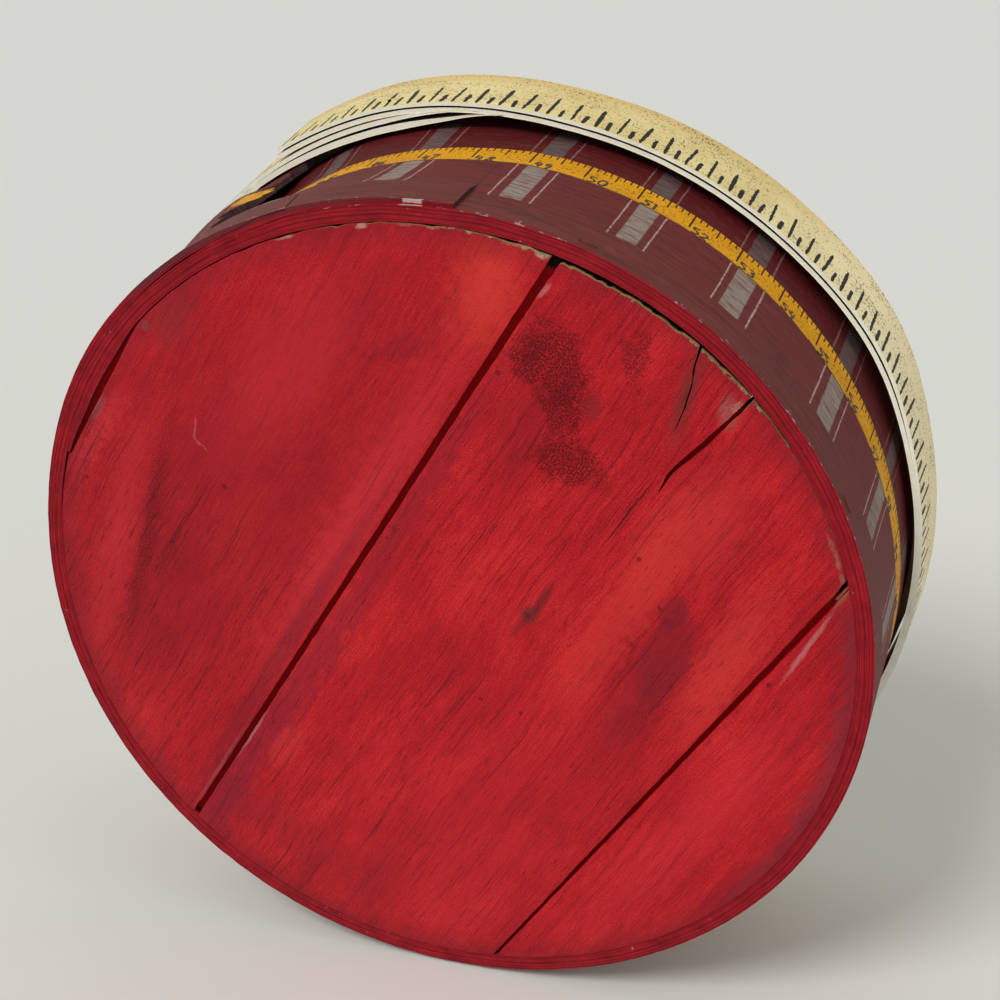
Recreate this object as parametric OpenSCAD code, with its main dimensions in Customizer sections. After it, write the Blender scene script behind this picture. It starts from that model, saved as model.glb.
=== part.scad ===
// Round bentwood box with a lift-off lid.
// Two thin plies are bent round a bottom of three boards and lapped, and the lid's rim is made the same way.
// The box stands on its bottom, with the middle of the bottom face at the origin.
// Angles are seen from above, anticlockwise from +X.

/* [Hoop] */
// Outer radius of the hoop where its two plies lie together
hoop_r = 196.5; // [170:0.5:230]
// Height of the hoop
hoop_h = 136.5; // [100:0.5:200]
// Thickness of each ply of the hoop
hoop_ply = 3.5; // [2.5:0.1:4.5]
// Angle at which the inner ply begins
inner_start = 190; // [170:1:200]
// Arc over which both plies rise by one ply to pass over the inner ply's beginning
first_climb = 40; // [30:1:60]
// Arc over which the inner ply's beginning is skived to a thin tip under the rising plies
inner_skive = 22; // [10:1:26]
// Arc by which the outer ply runs past the inner ply's beginning
outer_overrun = 14; // [13:1:30]
// Arc over which the inner ply rises past the outer ply's end
second_climb = 20; // [16:1:30]
// Arc by which the inner ply laps over the outer ply's beginning
inner_lap = 18; // [10:1:30]
// Arc over which the outer ply's beginning is skived to fill the space under the rising inner ply
start_skive = 12; // [8:1:13]
// Thickness left at the skived tip of the inner ply
lap_tip = 1.3; // [0.8:0.1:2]
// Arc over which the outer ply's free end has sprung straighter
sprung_arc = 12; // [6:1:12]
// How far the sprung end stands off at its tip
sprung_rise = 0.9; // [0:0.1:1.2]

/* [Torn end] */
// Height at which the tear in the outer ply's end begins
tear_from = 38; // [20:1:60]
// Length of ply that is torn away at the top of that end
tear_length = 26; // [10:1:40]
// Depth of the splinters along the tear
tear_splinter = 7; // [3:0.5:10]

/* [Bottom boards] */
// Thickness of the bottom boards
board_t = 12; // [9:0.5:18]
// Width of the left board
left_board_w = 138.65; // [110:0.05:160]
// Greatest width of the right board, whose outer edge is round
right_board_w = 63.85; // [40:0.05:80]
// Angle by which the right joint runs out of line with the left one
right_joint_slant = 3; // [0:0.1:5]
// Width of the open left joint
left_gap = 2.3; // [0.5:0.1:5]
// Width of the open right joint
right_gap = 2; // [0.5:0.1:4]
// How far the left board's straight outer edge falls short of the round
left_shortfall = 4.4; // [1:0.1:8]
// Shortage of the middle board's round ends, which opens a gap at one end
middle_slip = 0.9; // [0:0.1:3]
// Thickness of the tongues that close the joints
tongue_t = 4; // [3:0.1:5]
// How far a tongue reaches into the next board's groove
tongue_in = 4; // [2:0.1:6]
// Clearance of a tongue in its groove
tongue_fit = 0.4; // [0.2:0.05:0.6]
// Clearance between the boards and the hoop
board_fit = 0.3; // [0.2:0.05:0.6]
// Length of the drying split in the middle board
split_length = 66; // [30:1:100]
// Width of the split at the board's end
split_w = 2.4; // [1:0.1:4]
// Distance of the split from the middle at the board's end
split_x = 52; // [20:1:90]

/* [Lid] */
// Height of the lid's rim
rim_h = 41; // [30:0.5:60]
// Thickness of each ply of the rim
rim_ply = 2.5; // [1.8:0.1:3.5]
// Radial play of the rim over the hoop's two plies
lid_play = 4; // [3.8:0.1:6]
// How far the loose lid sits off the hoop's axis, towards its lap
lid_shift = 1.8; // [0:0.1:1.9]
// Angle at which the rim's inner end begins
rim_start = -121; // [-140:1:-100]
// Arc of the rim's lap
rim_lap = 32; // [20:1:45]
// Arc over which the rim rises to pass over its inner end
rim_climb = 46; // [34:1:70]
// Thickness of the lid's boards
lid_board_t = 12; // [8:0.5:16]
// Distance of each joint of the lid's boards from the middle
lid_joint = 66; // [40:1:90]
// Width of the joints of the lid's boards
lid_gap = 0.5; // [0.3:0.1:2]
// Gap between the lid's boards and the top of the hoop that carries them
seat_gap = 0.2; // [0.1:0.05:0.4]

/* [Staples] */
// Width of a staple's crown
crown = 8; // [5:0.5:12]
// Thickness of the flattened staple wire
wire = 1.2; // [0.8:0.1:1.6]
// Length of the legs that go into a board
board_leg = 18; // [15:0.5:25]
// How far the legs of a lap staple stop short of the lap's inner face
leg_short = 1; // [0.5:0.1:2]
// Height of the bottom staples above the bottom
staple_z = 7; // [5:0.5:8]
// Angle of the first bottom staple
staple_start = -101; // [-110:1:-95]
// Arc from one staple to the next
staple_step = 45; // [30:1:50]
// Number of bottom staples beside the lap
staple_count = 6; // [3:1:6]
// Arc from the end of the rim's lap to the first staple of the rim
rim_staple_lead = 17; // [10:1:20]

/* [Hidden] */
$fn = 96;
// Thickness of glue between plies
glue = 0.15;
// A little more than any cut needs
over = 1;
// Arc by which neighbouring arcs of a ply run into each other
seam = 0.2;
// Arc left open between the outer ply's end and the rise of the inner ply
end_gap = 0.5;
hoop_step = hoop_ply + glue;
// Inner faces of the three layers that lie on each other in the hoop's lap
inner_r = hoop_r - hoop_ply - hoop_step;
second_r = inner_r + hoop_step;
third_r = second_r + hoop_step;
disc_r = inner_r - board_fit;
// Distances of the two joints from the middle, where the middle board fills what the other two leave
left_joint = disc_r - left_shortfall - left_board_w - left_gap / 2;
right_joint = disc_r - right_board_w - right_gap / 2;
// Height, depth and end of the tongues and grooves
tongue_z = (board_t - tongue_t) / 2;
groove_depth = tongue_in + tongue_fit;
tongue_r = disc_r - 2 * middle_slip;
rim_step = rim_ply + glue;
rim_r = hoop_r + lid_play;
lid_disc_r = rim_r - board_fit;
rim_end = rim_start - rim_lap;
lid_axis = lid_shift * dir(rim_end);
lid_seat_z = hoop_h + seat_gap;
lid_top_z = lid_seat_z + lid_board_t;
rim_z = lid_top_z - rim_h;
big = 2 * hoop_r;

// Angles of the hoop's lap, all one turn after the inner ply's beginning
over_start = inner_start + 360;
climb_start = over_start - first_climb;
outer_end = over_start + outer_overrun;
sprung_start = outer_end - sprung_arc;
rise_start = outer_end + end_gap;
lap_start = rise_start + second_climb;
inner_end = lap_start + inner_lap;
outer_start = lap_start - 360;

// Round that skives the inner ply's end: it touches the raised ply where the rise starts
raised_r = hoop_r + hoop_step;
tip_r = hoop_r + glue + lap_tip;
skive = (raised_r - tip_r) / (1 - cos(inner_end - rise_start));

function dir(a) = [cos(a), sin(a)];

// A bent ply is a list of arcs, each [centre, radius of its inner face, angle from, angle to].
// An arc that keeps its distance from the centre:
function round_arc(centre, r, from, to) = [centre, r, from, to];

// An arc that carries the ply out from one radius to another, so that its own centre lies off the ply's
function rising_arc(centre, r_from, from, r_to, to) =
  let (a = r_from * dir(from))
  let (b = r_to * dir(to))
  let (r = (r_from + r_to) / 2)
  let (chord = b - a)
  let (half = norm(chord) / 2)
  let (outward = dir((from + to) / 2))
  let (square_off = [-chord[1], chord[0]] / (2 * half))
  let (side = square_off * outward > 0 ? 1 : -1)
  let (own = (a + b) / 2 - side * sqrt(r * r - half * half) * square_off)
  let (bearing_from = from + turned(a - own, from))
  let (bearing_to = to + turned(b - own, to))
  [centre + own, r, bearing_from, bearing_to];

// Angle by which a vector is turned from a bearing, between -180 and 180
function turned(v, bearing) = atan2(cross(dir(bearing), v), dir(bearing) * v);

// Distance from the axis of the skived face at an angle
function skived_r(a) =
  skive * cos(a - rise_start) + sqrt(pow(raised_r - skive, 2) - pow(skive * sin(a - rise_start), 2));

module ply(arcs, t, h) {
  for (arc = arcs)
    translate(arc[0])
      rotate_extrude(angle = abs(arc[3] - arc[2]) + 2 * seam, start = min(arc[2], arc[3]) - seam)
        translate([arc[1], 0])
          square([t, h]);
}

inner_arcs = [
  round_arc([0, 0], inner_r, inner_start + seam, climb_start),
  rising_arc([0, 0], inner_r, climb_start, second_r, over_start),
  round_arc([0, 0], second_r, over_start, rise_start)
];
lap_arcs = [
  rising_arc([0, 0], second_r, rise_start, third_r, lap_start),
  round_arc([0, 0], third_r, lap_start, inner_end)
];
outer_arcs = [
  round_arc([0, 0], second_r, outer_start + seam, climb_start),
  rising_arc([0, 0], second_r, climb_start, third_r, over_start),
  round_arc([0, 0], third_r, over_start, sprung_start),
  rising_arc([0, 0], third_r, sprung_start, third_r + sprung_rise, outer_end)
];

module body_inner_ply() {
  under_climb = inner_arcs[1];
  color("#6B2A30") {
    ply(inner_arcs, hoop_ply, hoop_h);
    intersection() {
      ply([round_arc([0, 0], inner_r, inner_start - inner_skive, inner_start)], hoop_ply, hoop_h);
      translate(under_climb[0])
        cylinder(r = under_climb[1] - glue, h = hoop_h);
    }
    intersection() {
      ply(lap_arcs, hoop_ply, hoop_h);
      translate(skive * dir(rise_start))
        cylinder(r = raised_r - skive, h = hoop_h);
    }
  }
}

// Outline of what is torn off the outer ply's end, along the ply and up
module tear() {
  top = hoop_h + over;
  step = (hoop_h - tear_from) / 5;
  polygon([
    [over, tear_from],
    [-tear_splinter, tear_from + step],
    [-tear_length / 3, tear_from + 1.5 * step],
    [-tear_length / 3 - tear_splinter, tear_from + 2 * step],
    [-tear_length / 2, tear_from + 3 * step],
    [-tear_length - tear_splinter / 2, tear_from + 3.5 * step],
    [-tear_length + tear_splinter / 2, tear_from + 4.2 * step],
    [-tear_length, top],
    [over, top]
  ]);
}

module body_outer_ply() {
  under_rise = lap_arcs[0];
  color("#5E2C2E") {
    difference() {
      ply(outer_arcs, hoop_ply, hoop_h);
      rotate([0, 0, outer_end])
        translate([hoop_r, 0, 0])
          rotate([90, 0, 90])
            linear_extrude(height = 4 * hoop_step)
              tear();
    }
    intersection() {
      ply([round_arc([0, 0], second_r, outer_start - start_skive, outer_start)], hoop_ply, hoop_h);
      translate(under_rise[0])
        cylinder(r = under_rise[1] - glue, h = hoop_h);
    }
  }
}

// Part of a round board between two upright planes through the x values, at an angle on the high side
module board(r, t, low, high, slant = 0) {
  intersection() {
    cylinder(r = r, h = t);
    translate([low, -big, 0])
      cube([2 * big, 2 * big, t]);
    translate([high, 0, 0])
      rotate([0, 0, slant])
        translate([-2 * big, -big, 0])
          cube([2 * big, 2 * big, t]);
  }
}

// Strip on the low side of a joint's plane at x: a tongue, or with some growth all round its groove
module joint_strip(r, x, slant, reach, grow = 0) {
  strip_t = tongue_t + 2 * grow;
  translate([0, 0, tongue_z - grow])
    intersection() {
      cylinder(r = r, h = strip_t);
      translate([x, 0, 0])
        rotate([0, 0, slant])
          translate([-reach, -big, 0])
            cube([reach + over, 2 * big, strip_t]);
    }
}

module bottom_board_left() {
  edge = -left_joint - left_gap / 2;
  color("#B3202A")
    difference() {
      board(disc_r, board_t, left_shortfall - disc_r, edge);
      joint_strip(disc_r + over, edge, 0, groove_depth, tongue_fit);
    }
}

module bottom_board_middle() {
  low_edge = left_gap / 2 - left_joint;
  high_edge = right_joint - right_gap / 2;
  split_y = middle_slip - disc_r;
  color("#A81E26") {
    difference() {
      intersection() {
        translate([0, middle_slip, 0])
          board(disc_r - middle_slip, board_t, low_edge, big);
        board(disc_r, board_t, -big, high_edge, right_joint_slant);
      }
      translate([split_x, split_y, -over])
        linear_extrude(height = board_t + 2 * over)
          polygon([[-split_w / 2, -over], [split_w / 2, -over], [-split_w, split_length]]);
      joint_strip(disc_r + over, high_edge, right_joint_slant, groove_depth, tongue_fit);
    }
    joint_strip(tongue_r, low_edge, 0, left_gap + tongue_in);
  }
}

module bottom_board_right() {
  edge = right_joint + right_gap / 2;
  color("#B3202A") {
    intersection() {
      cylinder(r = disc_r, h = board_t);
      translate([edge, 0, 0])
        rotate([0, 0, right_joint_slant])
          translate([0, -big, 0])
            cube([big, 2 * big, board_t]);
    }
    joint_strip(tongue_r, edge, right_joint_slant, right_gap + tongue_in);
  }
}

// Staple at an angle round an axis: its crown is half sunk in the face at r, and its legs point at the axis
module staple(a, r, z, leg) {
  half = crown / 2;
  turn = asin(half / r);
  translate([0, 0, z - wire / 2]) {
    rotate_extrude(angle = 2 * turn, start = a - turn)
      translate([r - wire / 2, 0])
        square([wire, wire]);
    rotate([0, 0, a])
      for (side = [-1, 1])
        translate([r - leg, side * (half - wire / 2) - wire / 2, 0])
          cube([leg, wire, wire]);
  }
}

module bottom_staples() {
  color("#4A2226") {
    for (i = [0 : staple_count - 1])
      staple(staple_start + i * staple_step, hoop_r, staple_z, board_leg);
    staple(over_start + (outer_overrun - sprung_arc) / 2, raised_r, staple_z, board_leg);
  }
}

module body_lap_staples() {
  a = inner_end - inner_lap / 2;
  face = skived_r(a);
  color("#4A2226")
    for (part = [0.25, 0.5, 0.75])
      staple(a, face, part * hoop_h, face - inner_r - leg_short);
}

module lid_board(low, high) {
  color("#E6D595")
    translate([lid_axis[0], lid_axis[1], lid_seat_z])
      board(lid_disc_r, lid_board_t, low, high);
}

module lid_board_left() {
  lid_board(-big, -lid_joint - lid_gap / 2);
}

module lid_board_middle() {
  lid_board(lid_gap / 2 - lid_joint, lid_joint - lid_gap / 2);
}

module lid_board_right() {
  lid_board(lid_joint + lid_gap / 2, big);
}

// The rim runs clockwise from its inner end, climbs over that end and ends after its lap
rim_over = rim_start - 360;
rim_rise = 2 * rim_step;

module rim(r) {
  arcs = [
    round_arc(lid_axis, r, rim_start - seam, rim_over + rim_climb),
    rising_arc(lid_axis, r, rim_over + rim_climb, r + rim_rise, rim_over),
    round_arc(lid_axis, r + rim_rise, rim_over, rim_over - rim_lap)
  ];
  translate([0, 0, rim_z])
    ply(arcs, rim_ply, rim_h);
}

module lid_inner_ply() {
  color("#EDE6D0")
    rim(rim_r);
}

module lid_outer_ply() {
  color("#E6D595")
    rim(rim_r + rim_step);
}

module lid_rim_staples() {
  color("#D9C88C")
    translate([lid_axis[0], lid_axis[1], 0])
      for (i = [0 : staple_count - 1])
        staple(rim_end - rim_staple_lead - i * staple_step, rim_r + rim_step + rim_ply,
          lid_top_z - lid_board_t / 2, board_leg);
}

module lid_lap_staples() {
  face = rim_r + 3 * rim_step + rim_ply;
  color("#D9C88C")
    translate([lid_axis[0], lid_axis[1], 0])
      for (part = [0.25, 0.6])
        staple(rim_start - rim_lap / 2, face, rim_z + part * rim_h, face - rim_r - leg_short);
}

bottom_board_left();
bottom_board_middle();
bottom_board_right();
body_inner_ply();
body_outer_ply();
bottom_staples();
body_lap_staples();
lid_board_left();
lid_board_middle();
lid_board_right();
lid_inner_ply();
lid_outer_ply();
lid_rim_staples();
lid_lap_staples();
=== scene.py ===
import math
import random

import bmesh
import bpy
from mathutils import Matrix, Vector, noise


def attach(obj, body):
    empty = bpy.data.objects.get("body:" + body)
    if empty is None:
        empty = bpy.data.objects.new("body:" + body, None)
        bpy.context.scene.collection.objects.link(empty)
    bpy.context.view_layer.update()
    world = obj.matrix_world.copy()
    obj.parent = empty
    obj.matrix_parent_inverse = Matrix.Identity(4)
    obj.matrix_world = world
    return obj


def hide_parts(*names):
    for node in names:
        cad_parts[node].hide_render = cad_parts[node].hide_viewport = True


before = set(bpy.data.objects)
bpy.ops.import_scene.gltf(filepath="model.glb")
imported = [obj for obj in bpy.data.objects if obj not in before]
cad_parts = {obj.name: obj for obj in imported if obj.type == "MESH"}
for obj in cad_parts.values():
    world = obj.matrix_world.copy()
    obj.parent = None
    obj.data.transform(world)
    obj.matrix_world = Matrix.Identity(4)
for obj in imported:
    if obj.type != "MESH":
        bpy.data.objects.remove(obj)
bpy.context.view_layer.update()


# Bottom boards.
# Three pine boards sawn to one round and laid side by side inside the hoop, which is stapled to their edges.
# Their face was brushed red along the grain. They have shrunk: the joints stand open and one board has split.
MM = 0.001
board_t = 12.0
disc_r = 189.05
middle_slip = 0.25
round_segments = 480
arris = 0.5
crease = math.radians(38)
left_flat = -184.65
left_joint = (-46.05, -43.45)
right_joint = (124.1, 125.6)
taper_slant = math.radians(2.4)
right_slant = math.radians(3.0)


def linear(colour):
    """An sRGB hex colour as linear values."""
    parts = [int(colour[i:i + 2], 16) / 255 for i in (1, 3, 5)]
    return [c / 12.92 if c <= 0.04045 else ((c + 0.055) / 1.055) ** 2.4 for c in parts] + [1.0]


def set_inputs(tree, target, inputs):
    """Sets a node's inputs, by name or number, to values or hex colours, or links them to other nodes."""
    for key, value in inputs.items():
        socket = target.inputs[key] if isinstance(key, int) else next(
            s for s in target.inputs if s.enabled and s.name == key)
        if isinstance(value, bpy.types.Node):
            value = next(o for o in value.outputs if o.enabled)
        if isinstance(value, bpy.types.NodeSocket):
            tree.links.new(value, socket)
        else:
            socket.default_value = linear(value) if isinstance(value, str) else value


def node(tree, kind, inputs=None, **settings):
    """Adds a node with its settings and its inputs."""
    made = tree.nodes.new("ShaderNode" + kind)
    for name, value in settings.items():
        setattr(made, name, value)
    set_inputs(tree, made, inputs or {})
    return made


def start_material(name):
    """A new material, its node tree and the node that gives a point's place in mm."""
    material = bpy.data.materials.new(name)
    material.use_nodes = True
    tree = material.node_tree
    place = node(tree, "TexCoord")
    mm = node(tree, "VectorMath", {"Vector": place.outputs["Object"], "Scale": 1 / MM}, operation="SCALE")
    return material, tree, mm


def distance(tree, value, middle):
    """How far a value is from a middle one."""
    off = node(tree, "Math", {0: value, 1: middle}, operation="SUBTRACT")
    return node(tree, "Math", {0: off}, operation="ABSOLUTE")


def ease(value, first, last):
    """A smooth step from 0 where the value is the first to 1 where it is the last."""
    t = min(1.0, max(0.0, (value - first) / (last - first)))
    return t * t * (3 - 2 * t)


def ripple(x, y, seed=0.0, octaves=3):
    """Unevenness of hand work, from about -1 to 1."""
    return noise.fractal(Vector((x, y, seed)), 0.8, 2.0, octaves)


def show(name, data):
    """Puts a mesh, a curve, a camera or a light in the scene as an object."""
    shown = bpy.data.objects.new(name, data)
    bpy.context.scene.collection.objects.link(shown)
    return shown


def add_piece(name, bm, materials, body, nodes=()):
    """Makes an object of a mesh in mm, on a body of the frame."""
    bmesh.ops.scale(bm, vec=(MM, MM, MM), verts=bm.verts)
    for f in bm.faces:
        f.smooth = len(f.verts) < 9
    mesh = bpy.data.meshes.new(name)
    bm.to_mesh(mesh)
    bm.free()
    mesh.set_sharp_from_angle(angle=crease)
    for material in materials:
        mesh.materials.append(material)
    piece = show(name, mesh)
    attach(piece, body)
    if nodes:
        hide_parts(*nodes)


def thicken(bm, height):
    """Raises a flat sheet of faces into a solid."""
    raised = bmesh.ops.extrude_face_region(bm, geom=bm.faces[:])["geom"]
    top = [g for g in raised if isinstance(g, bmesh.types.BMVert)]
    bmesh.ops.translate(bm, vec=(0, 0, height), verts=top)
    bmesh.ops.recalc_face_normals(bm, faces=bm.faces)


def split_board(bm, path, widths):
    """Opens a drying split from the round edge along a path, and gives back the points of its sides."""
    mouth = Vector((*path[0], 0))
    rim = min(bm.edges, key=lambda e: ((e.verts[0].co + e.verts[1].co) / 2 - mouth).length)
    start, end = sorted((v.co.copy() for v in rim.verts), key=lambda co: co.x)
    cut = bmesh.ops.subdivide_edges(bm, edges=[rim], cuts=2)["geom_inner"]
    ends = sorted((g for g in cut if isinstance(g, bmesh.types.BMVert)), key=lambda v: v.co.x)
    share = min(0.42, widths[0] / (end - start).length)
    ends[0].co = start.lerp(end, 0.5 - share)
    ends[1].co = start.lerp(end, 0.5 + share)
    step, splintered = 2.2, 0.28
    fine = []
    for (p, w), (q, x) in zip(zip(path, widths), zip(path[1:], widths[1:])):
        steps = max(2, int(math.dist(p, q) / step))
        fine += [(p[0] + (q[0] - p[0]) * k / steps, p[1] + (q[1] - p[1]) * k / steps,
                  w + (x - w) * k / steps) for k in range(steps)]
    left = [(x - w + splintered * ripple(x / 3, y / 3, 4.0), y, 0) for x, y, w in fine[2:]]
    right = [(x + w + splintered * ripple(x / 3, y / 3, 9.0), y, 0) for x, y, w in fine[2:]]
    sides = left + [(*path[-1], 0)] + right[::-1]
    bmesh.utils.face_split(ends[0].link_faces[0], ends[0], ends[1], coords=sides)
    sliver = min(bm.faces, key=lambda f: f.calc_area())
    bmesh.ops.delete(bm, geom=[sliver], context="FACES_ONLY")
    bmesh.ops.delete(bm, geom=[e for e in bm.edges if not e.link_faces], context="EDGES")
    return [(round(x, 2), round(y, 2)) for x, y, z in sides]


def round_board(radius, centre, cuts, low, thick, chips=(), splits=(), seed=0.0, edge=arris, worn_face=-1):
    """A board cut from a round: cuts are planes, each a point and the side that is cut away."""
    sliver, long_edge, spacing = 1.4, 20, 2.5
    wear, unevenness = 0.22, 0.3
    bm = bmesh.new()
    bmesh.ops.create_circle(bm, cap_ends=True, radius=radius, segments=round_segments)
    bmesh.ops.translate(bm, vec=(*centre, 0), verts=bm.verts)
    for point, away in cuts:
        bmesh.ops.bisect_plane(bm, geom=bm.verts[:] + bm.edges[:] + bm.faces[:],
                               plane_co=(*point, 0), plane_no=(*away, 0), clear_outer=True)
    bmesh.ops.remove_doubles(bm, verts=bm.verts, dist=sliver)
    for e in [e for e in bm.edges if e.calc_length() > long_edge]:
        bmesh.ops.subdivide_edges(bm, edges=[e], cuts=int(e.calc_length() / spacing), use_only_quads=True)
    heart = bm.faces[:][0].calc_center_median()
    for v in bm.verts:
        inward = Vector((centre[0] - v.co.x, centre[1] - v.co.y, 0)).normalized()
        for p, away in cuts:
            if abs((p[0] - v.co.x) * away[0] + (p[1] - v.co.y) * away[1]) < 0.01:
                inward = -Vector((*away, 0))
        move = inward * max(0.0, wear + unevenness * ripple(v.co.x / 9, v.co.y / 9, seed))
        for x, y, reach, depth in chips:
            near = max(0.0, 1 - math.dist((x, y), v.co[:2]) / reach)
            bite = depth * near * (0.75 + 0.5 * ripple(v.co.x / 1.6, v.co.y / 1.6, seed + 3))
            move += (heart - v.co).normalized() * bite
        v.co += move
    cracked = set()
    for path, widths in splits:
        cracked.update(split_board(bm, path, widths))
    thicken(bm, thick)
    bmesh.ops.translate(bm, vec=(0, 0, low), verts=bm.verts)
    face_z = low if worn_face < 0 else low + thick
    for f in bm.faces:
        f.material_index = 0 if f.normal.z * worn_face > 0.5 else 1
    rim = [e for e in bm.edges if all(abs(v.co.z - face_z) < 1e-4 and
                                      (round(v.co.x, 2), round(v.co.y, 2)) not in cracked for v in e.verts)]
    bmesh.ops.bevel(bm, geom=rim, offset=edge, segments=3, profile=0.5, affect="EDGES", material=0,
                    clamp_overlap=False)
    return bm


knocks = random.Random(4)


def edge_nicks(first, last, count):
    """Chips that knocks have broken off the round edge between two angles."""
    nicks = []
    for _ in range(count):
        a = math.radians(knocks.uniform(first, last))
        reach, depth = knocks.uniform(2.5, 6), knocks.uniform(0.3, 0.9)
        nicks.append((disc_r * math.cos(a), disc_r * math.sin(a), reach, depth))
    return nicks


# Oil paint over softwood: crimson with soft lighter clouds, fine pebbles and faint brush lines along the
# grain, with dark lines and flecks where it sank into the pores, and chips of pale wood along the edges.
red_paint, tree, mm = start_material("red_oil_paint_on_pine")
drift = node(tree, "TexNoise", {"Vector": mm, "Scale": 1 / 80, "Detail": 2.0})
drift = node(tree, "VectorMath", {0: drift.outputs["Color"], 1: (0.5, 0.5, 0.5)}, operation="SUBTRACT")
grain = node(tree, "VectorMath", {0: drift, 1: (9, 0, 0), 2: mm}, operation="MULTIPLY_ADD")
depth = 0.5
layers = {}
for name, across, along, detail, weight in (("cloud", 42, 90, 3.0, 1.1), ("streak", 2.8, 110, 4.0, 0.5),
                                            ("bristle", 0.6, 10, 2.0, 0.72), ("pebble", 0.75, 1.0, 1.0, 0.8)):
    layer = node(tree, "Mapping", {"Vector": grain, "Scale": (1 / across, 1 / along, 0.2)})
    layer = node(tree, "TexNoise", {"Vector": layer, "Scale": 1.0, "Detail": detail, "Roughness": 0.65})
    layers[name] = layer
    layer = node(tree, "Math", {0: layer, 1: 0.5}, operation="SUBTRACT")
    depth = node(tree, "Math", {0: layer, 1: weight, 2: depth}, operation="MULTIPLY_ADD")
thick = node(tree, "MapRange", {"Value": depth, "From Min": 0.15, "From Max": 0.5})
colour = node(tree, "Mix", {"Factor": thick, "A": "#8A0E18", "B": "#B6151F"}, data_type="RGBA")
thin = node(tree, "MapRange", {"Value": depth, "From Min": 0.5, "From Max": 0.95})
colour = node(tree, "Mix", {"Factor": thin, "A": colour, "B": "#DA302E"}, data_type="RGBA")
fleck = 0.0
for across, along, from_min, from_max in ((0.6, 9, 0.46, 0.57), (0.5, 75, 0.46, 0.54)):
    pore = node(tree, "Mapping", {"Vector": grain, "Scale": (1 / across, 1 / along, 0.2)})
    pore = node(tree, "TexNoise", {"Vector": pore, "Scale": 1.0, "Detail": 2.0, "Roughness": 0.6})
    pore = node(tree, "Math", {0: layers["streak"], 1: -0.35, 2: pore}, operation="MULTIPLY_ADD")
    pore = node(tree, "MapRange", {"Value": pore, "From Min": from_min, "From Max": from_max, "To Max": 0.7})
    fleck = node(tree, "Math", {0: fleck, 1: pore}, operation="MAXIMUM")
# The middle board and the lower part of the left one are rougher than the rest
parts = node(tree, "SeparateXYZ", {"Vector": mm})
from_middle = distance(tree, parts.outputs["X"], 40.0)
rough_face = node(tree, "MapRange", {"Value": from_middle, "From Min": 100, "From Max": 80, "To Min": 0.5})
left_side = node(tree, "MapRange", {"Value": parts.outputs["X"], "From Min": -40.0, "From Max": -60.0})
low_side = node(tree, "MapRange", {"Value": parts.outputs["Y"], "From Min": -30.0, "From Max": 20.0,
                                   "To Max": 1.2})
low_left = node(tree, "Math", {0: left_side, 1: low_side}, operation="MULTIPLY")
rough_face = node(tree, "Math", {0: rough_face, 1: low_left}, operation="MAXIMUM")
fleck = node(tree, "Math", {0: fleck, 1: rough_face}, operation="MULTIPLY")
pitted = node(tree, "MapRange", {"Value": layers["pebble"], "From Min": 0.62, "From Max": 0.4, "To Min": 0.2})
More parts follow.
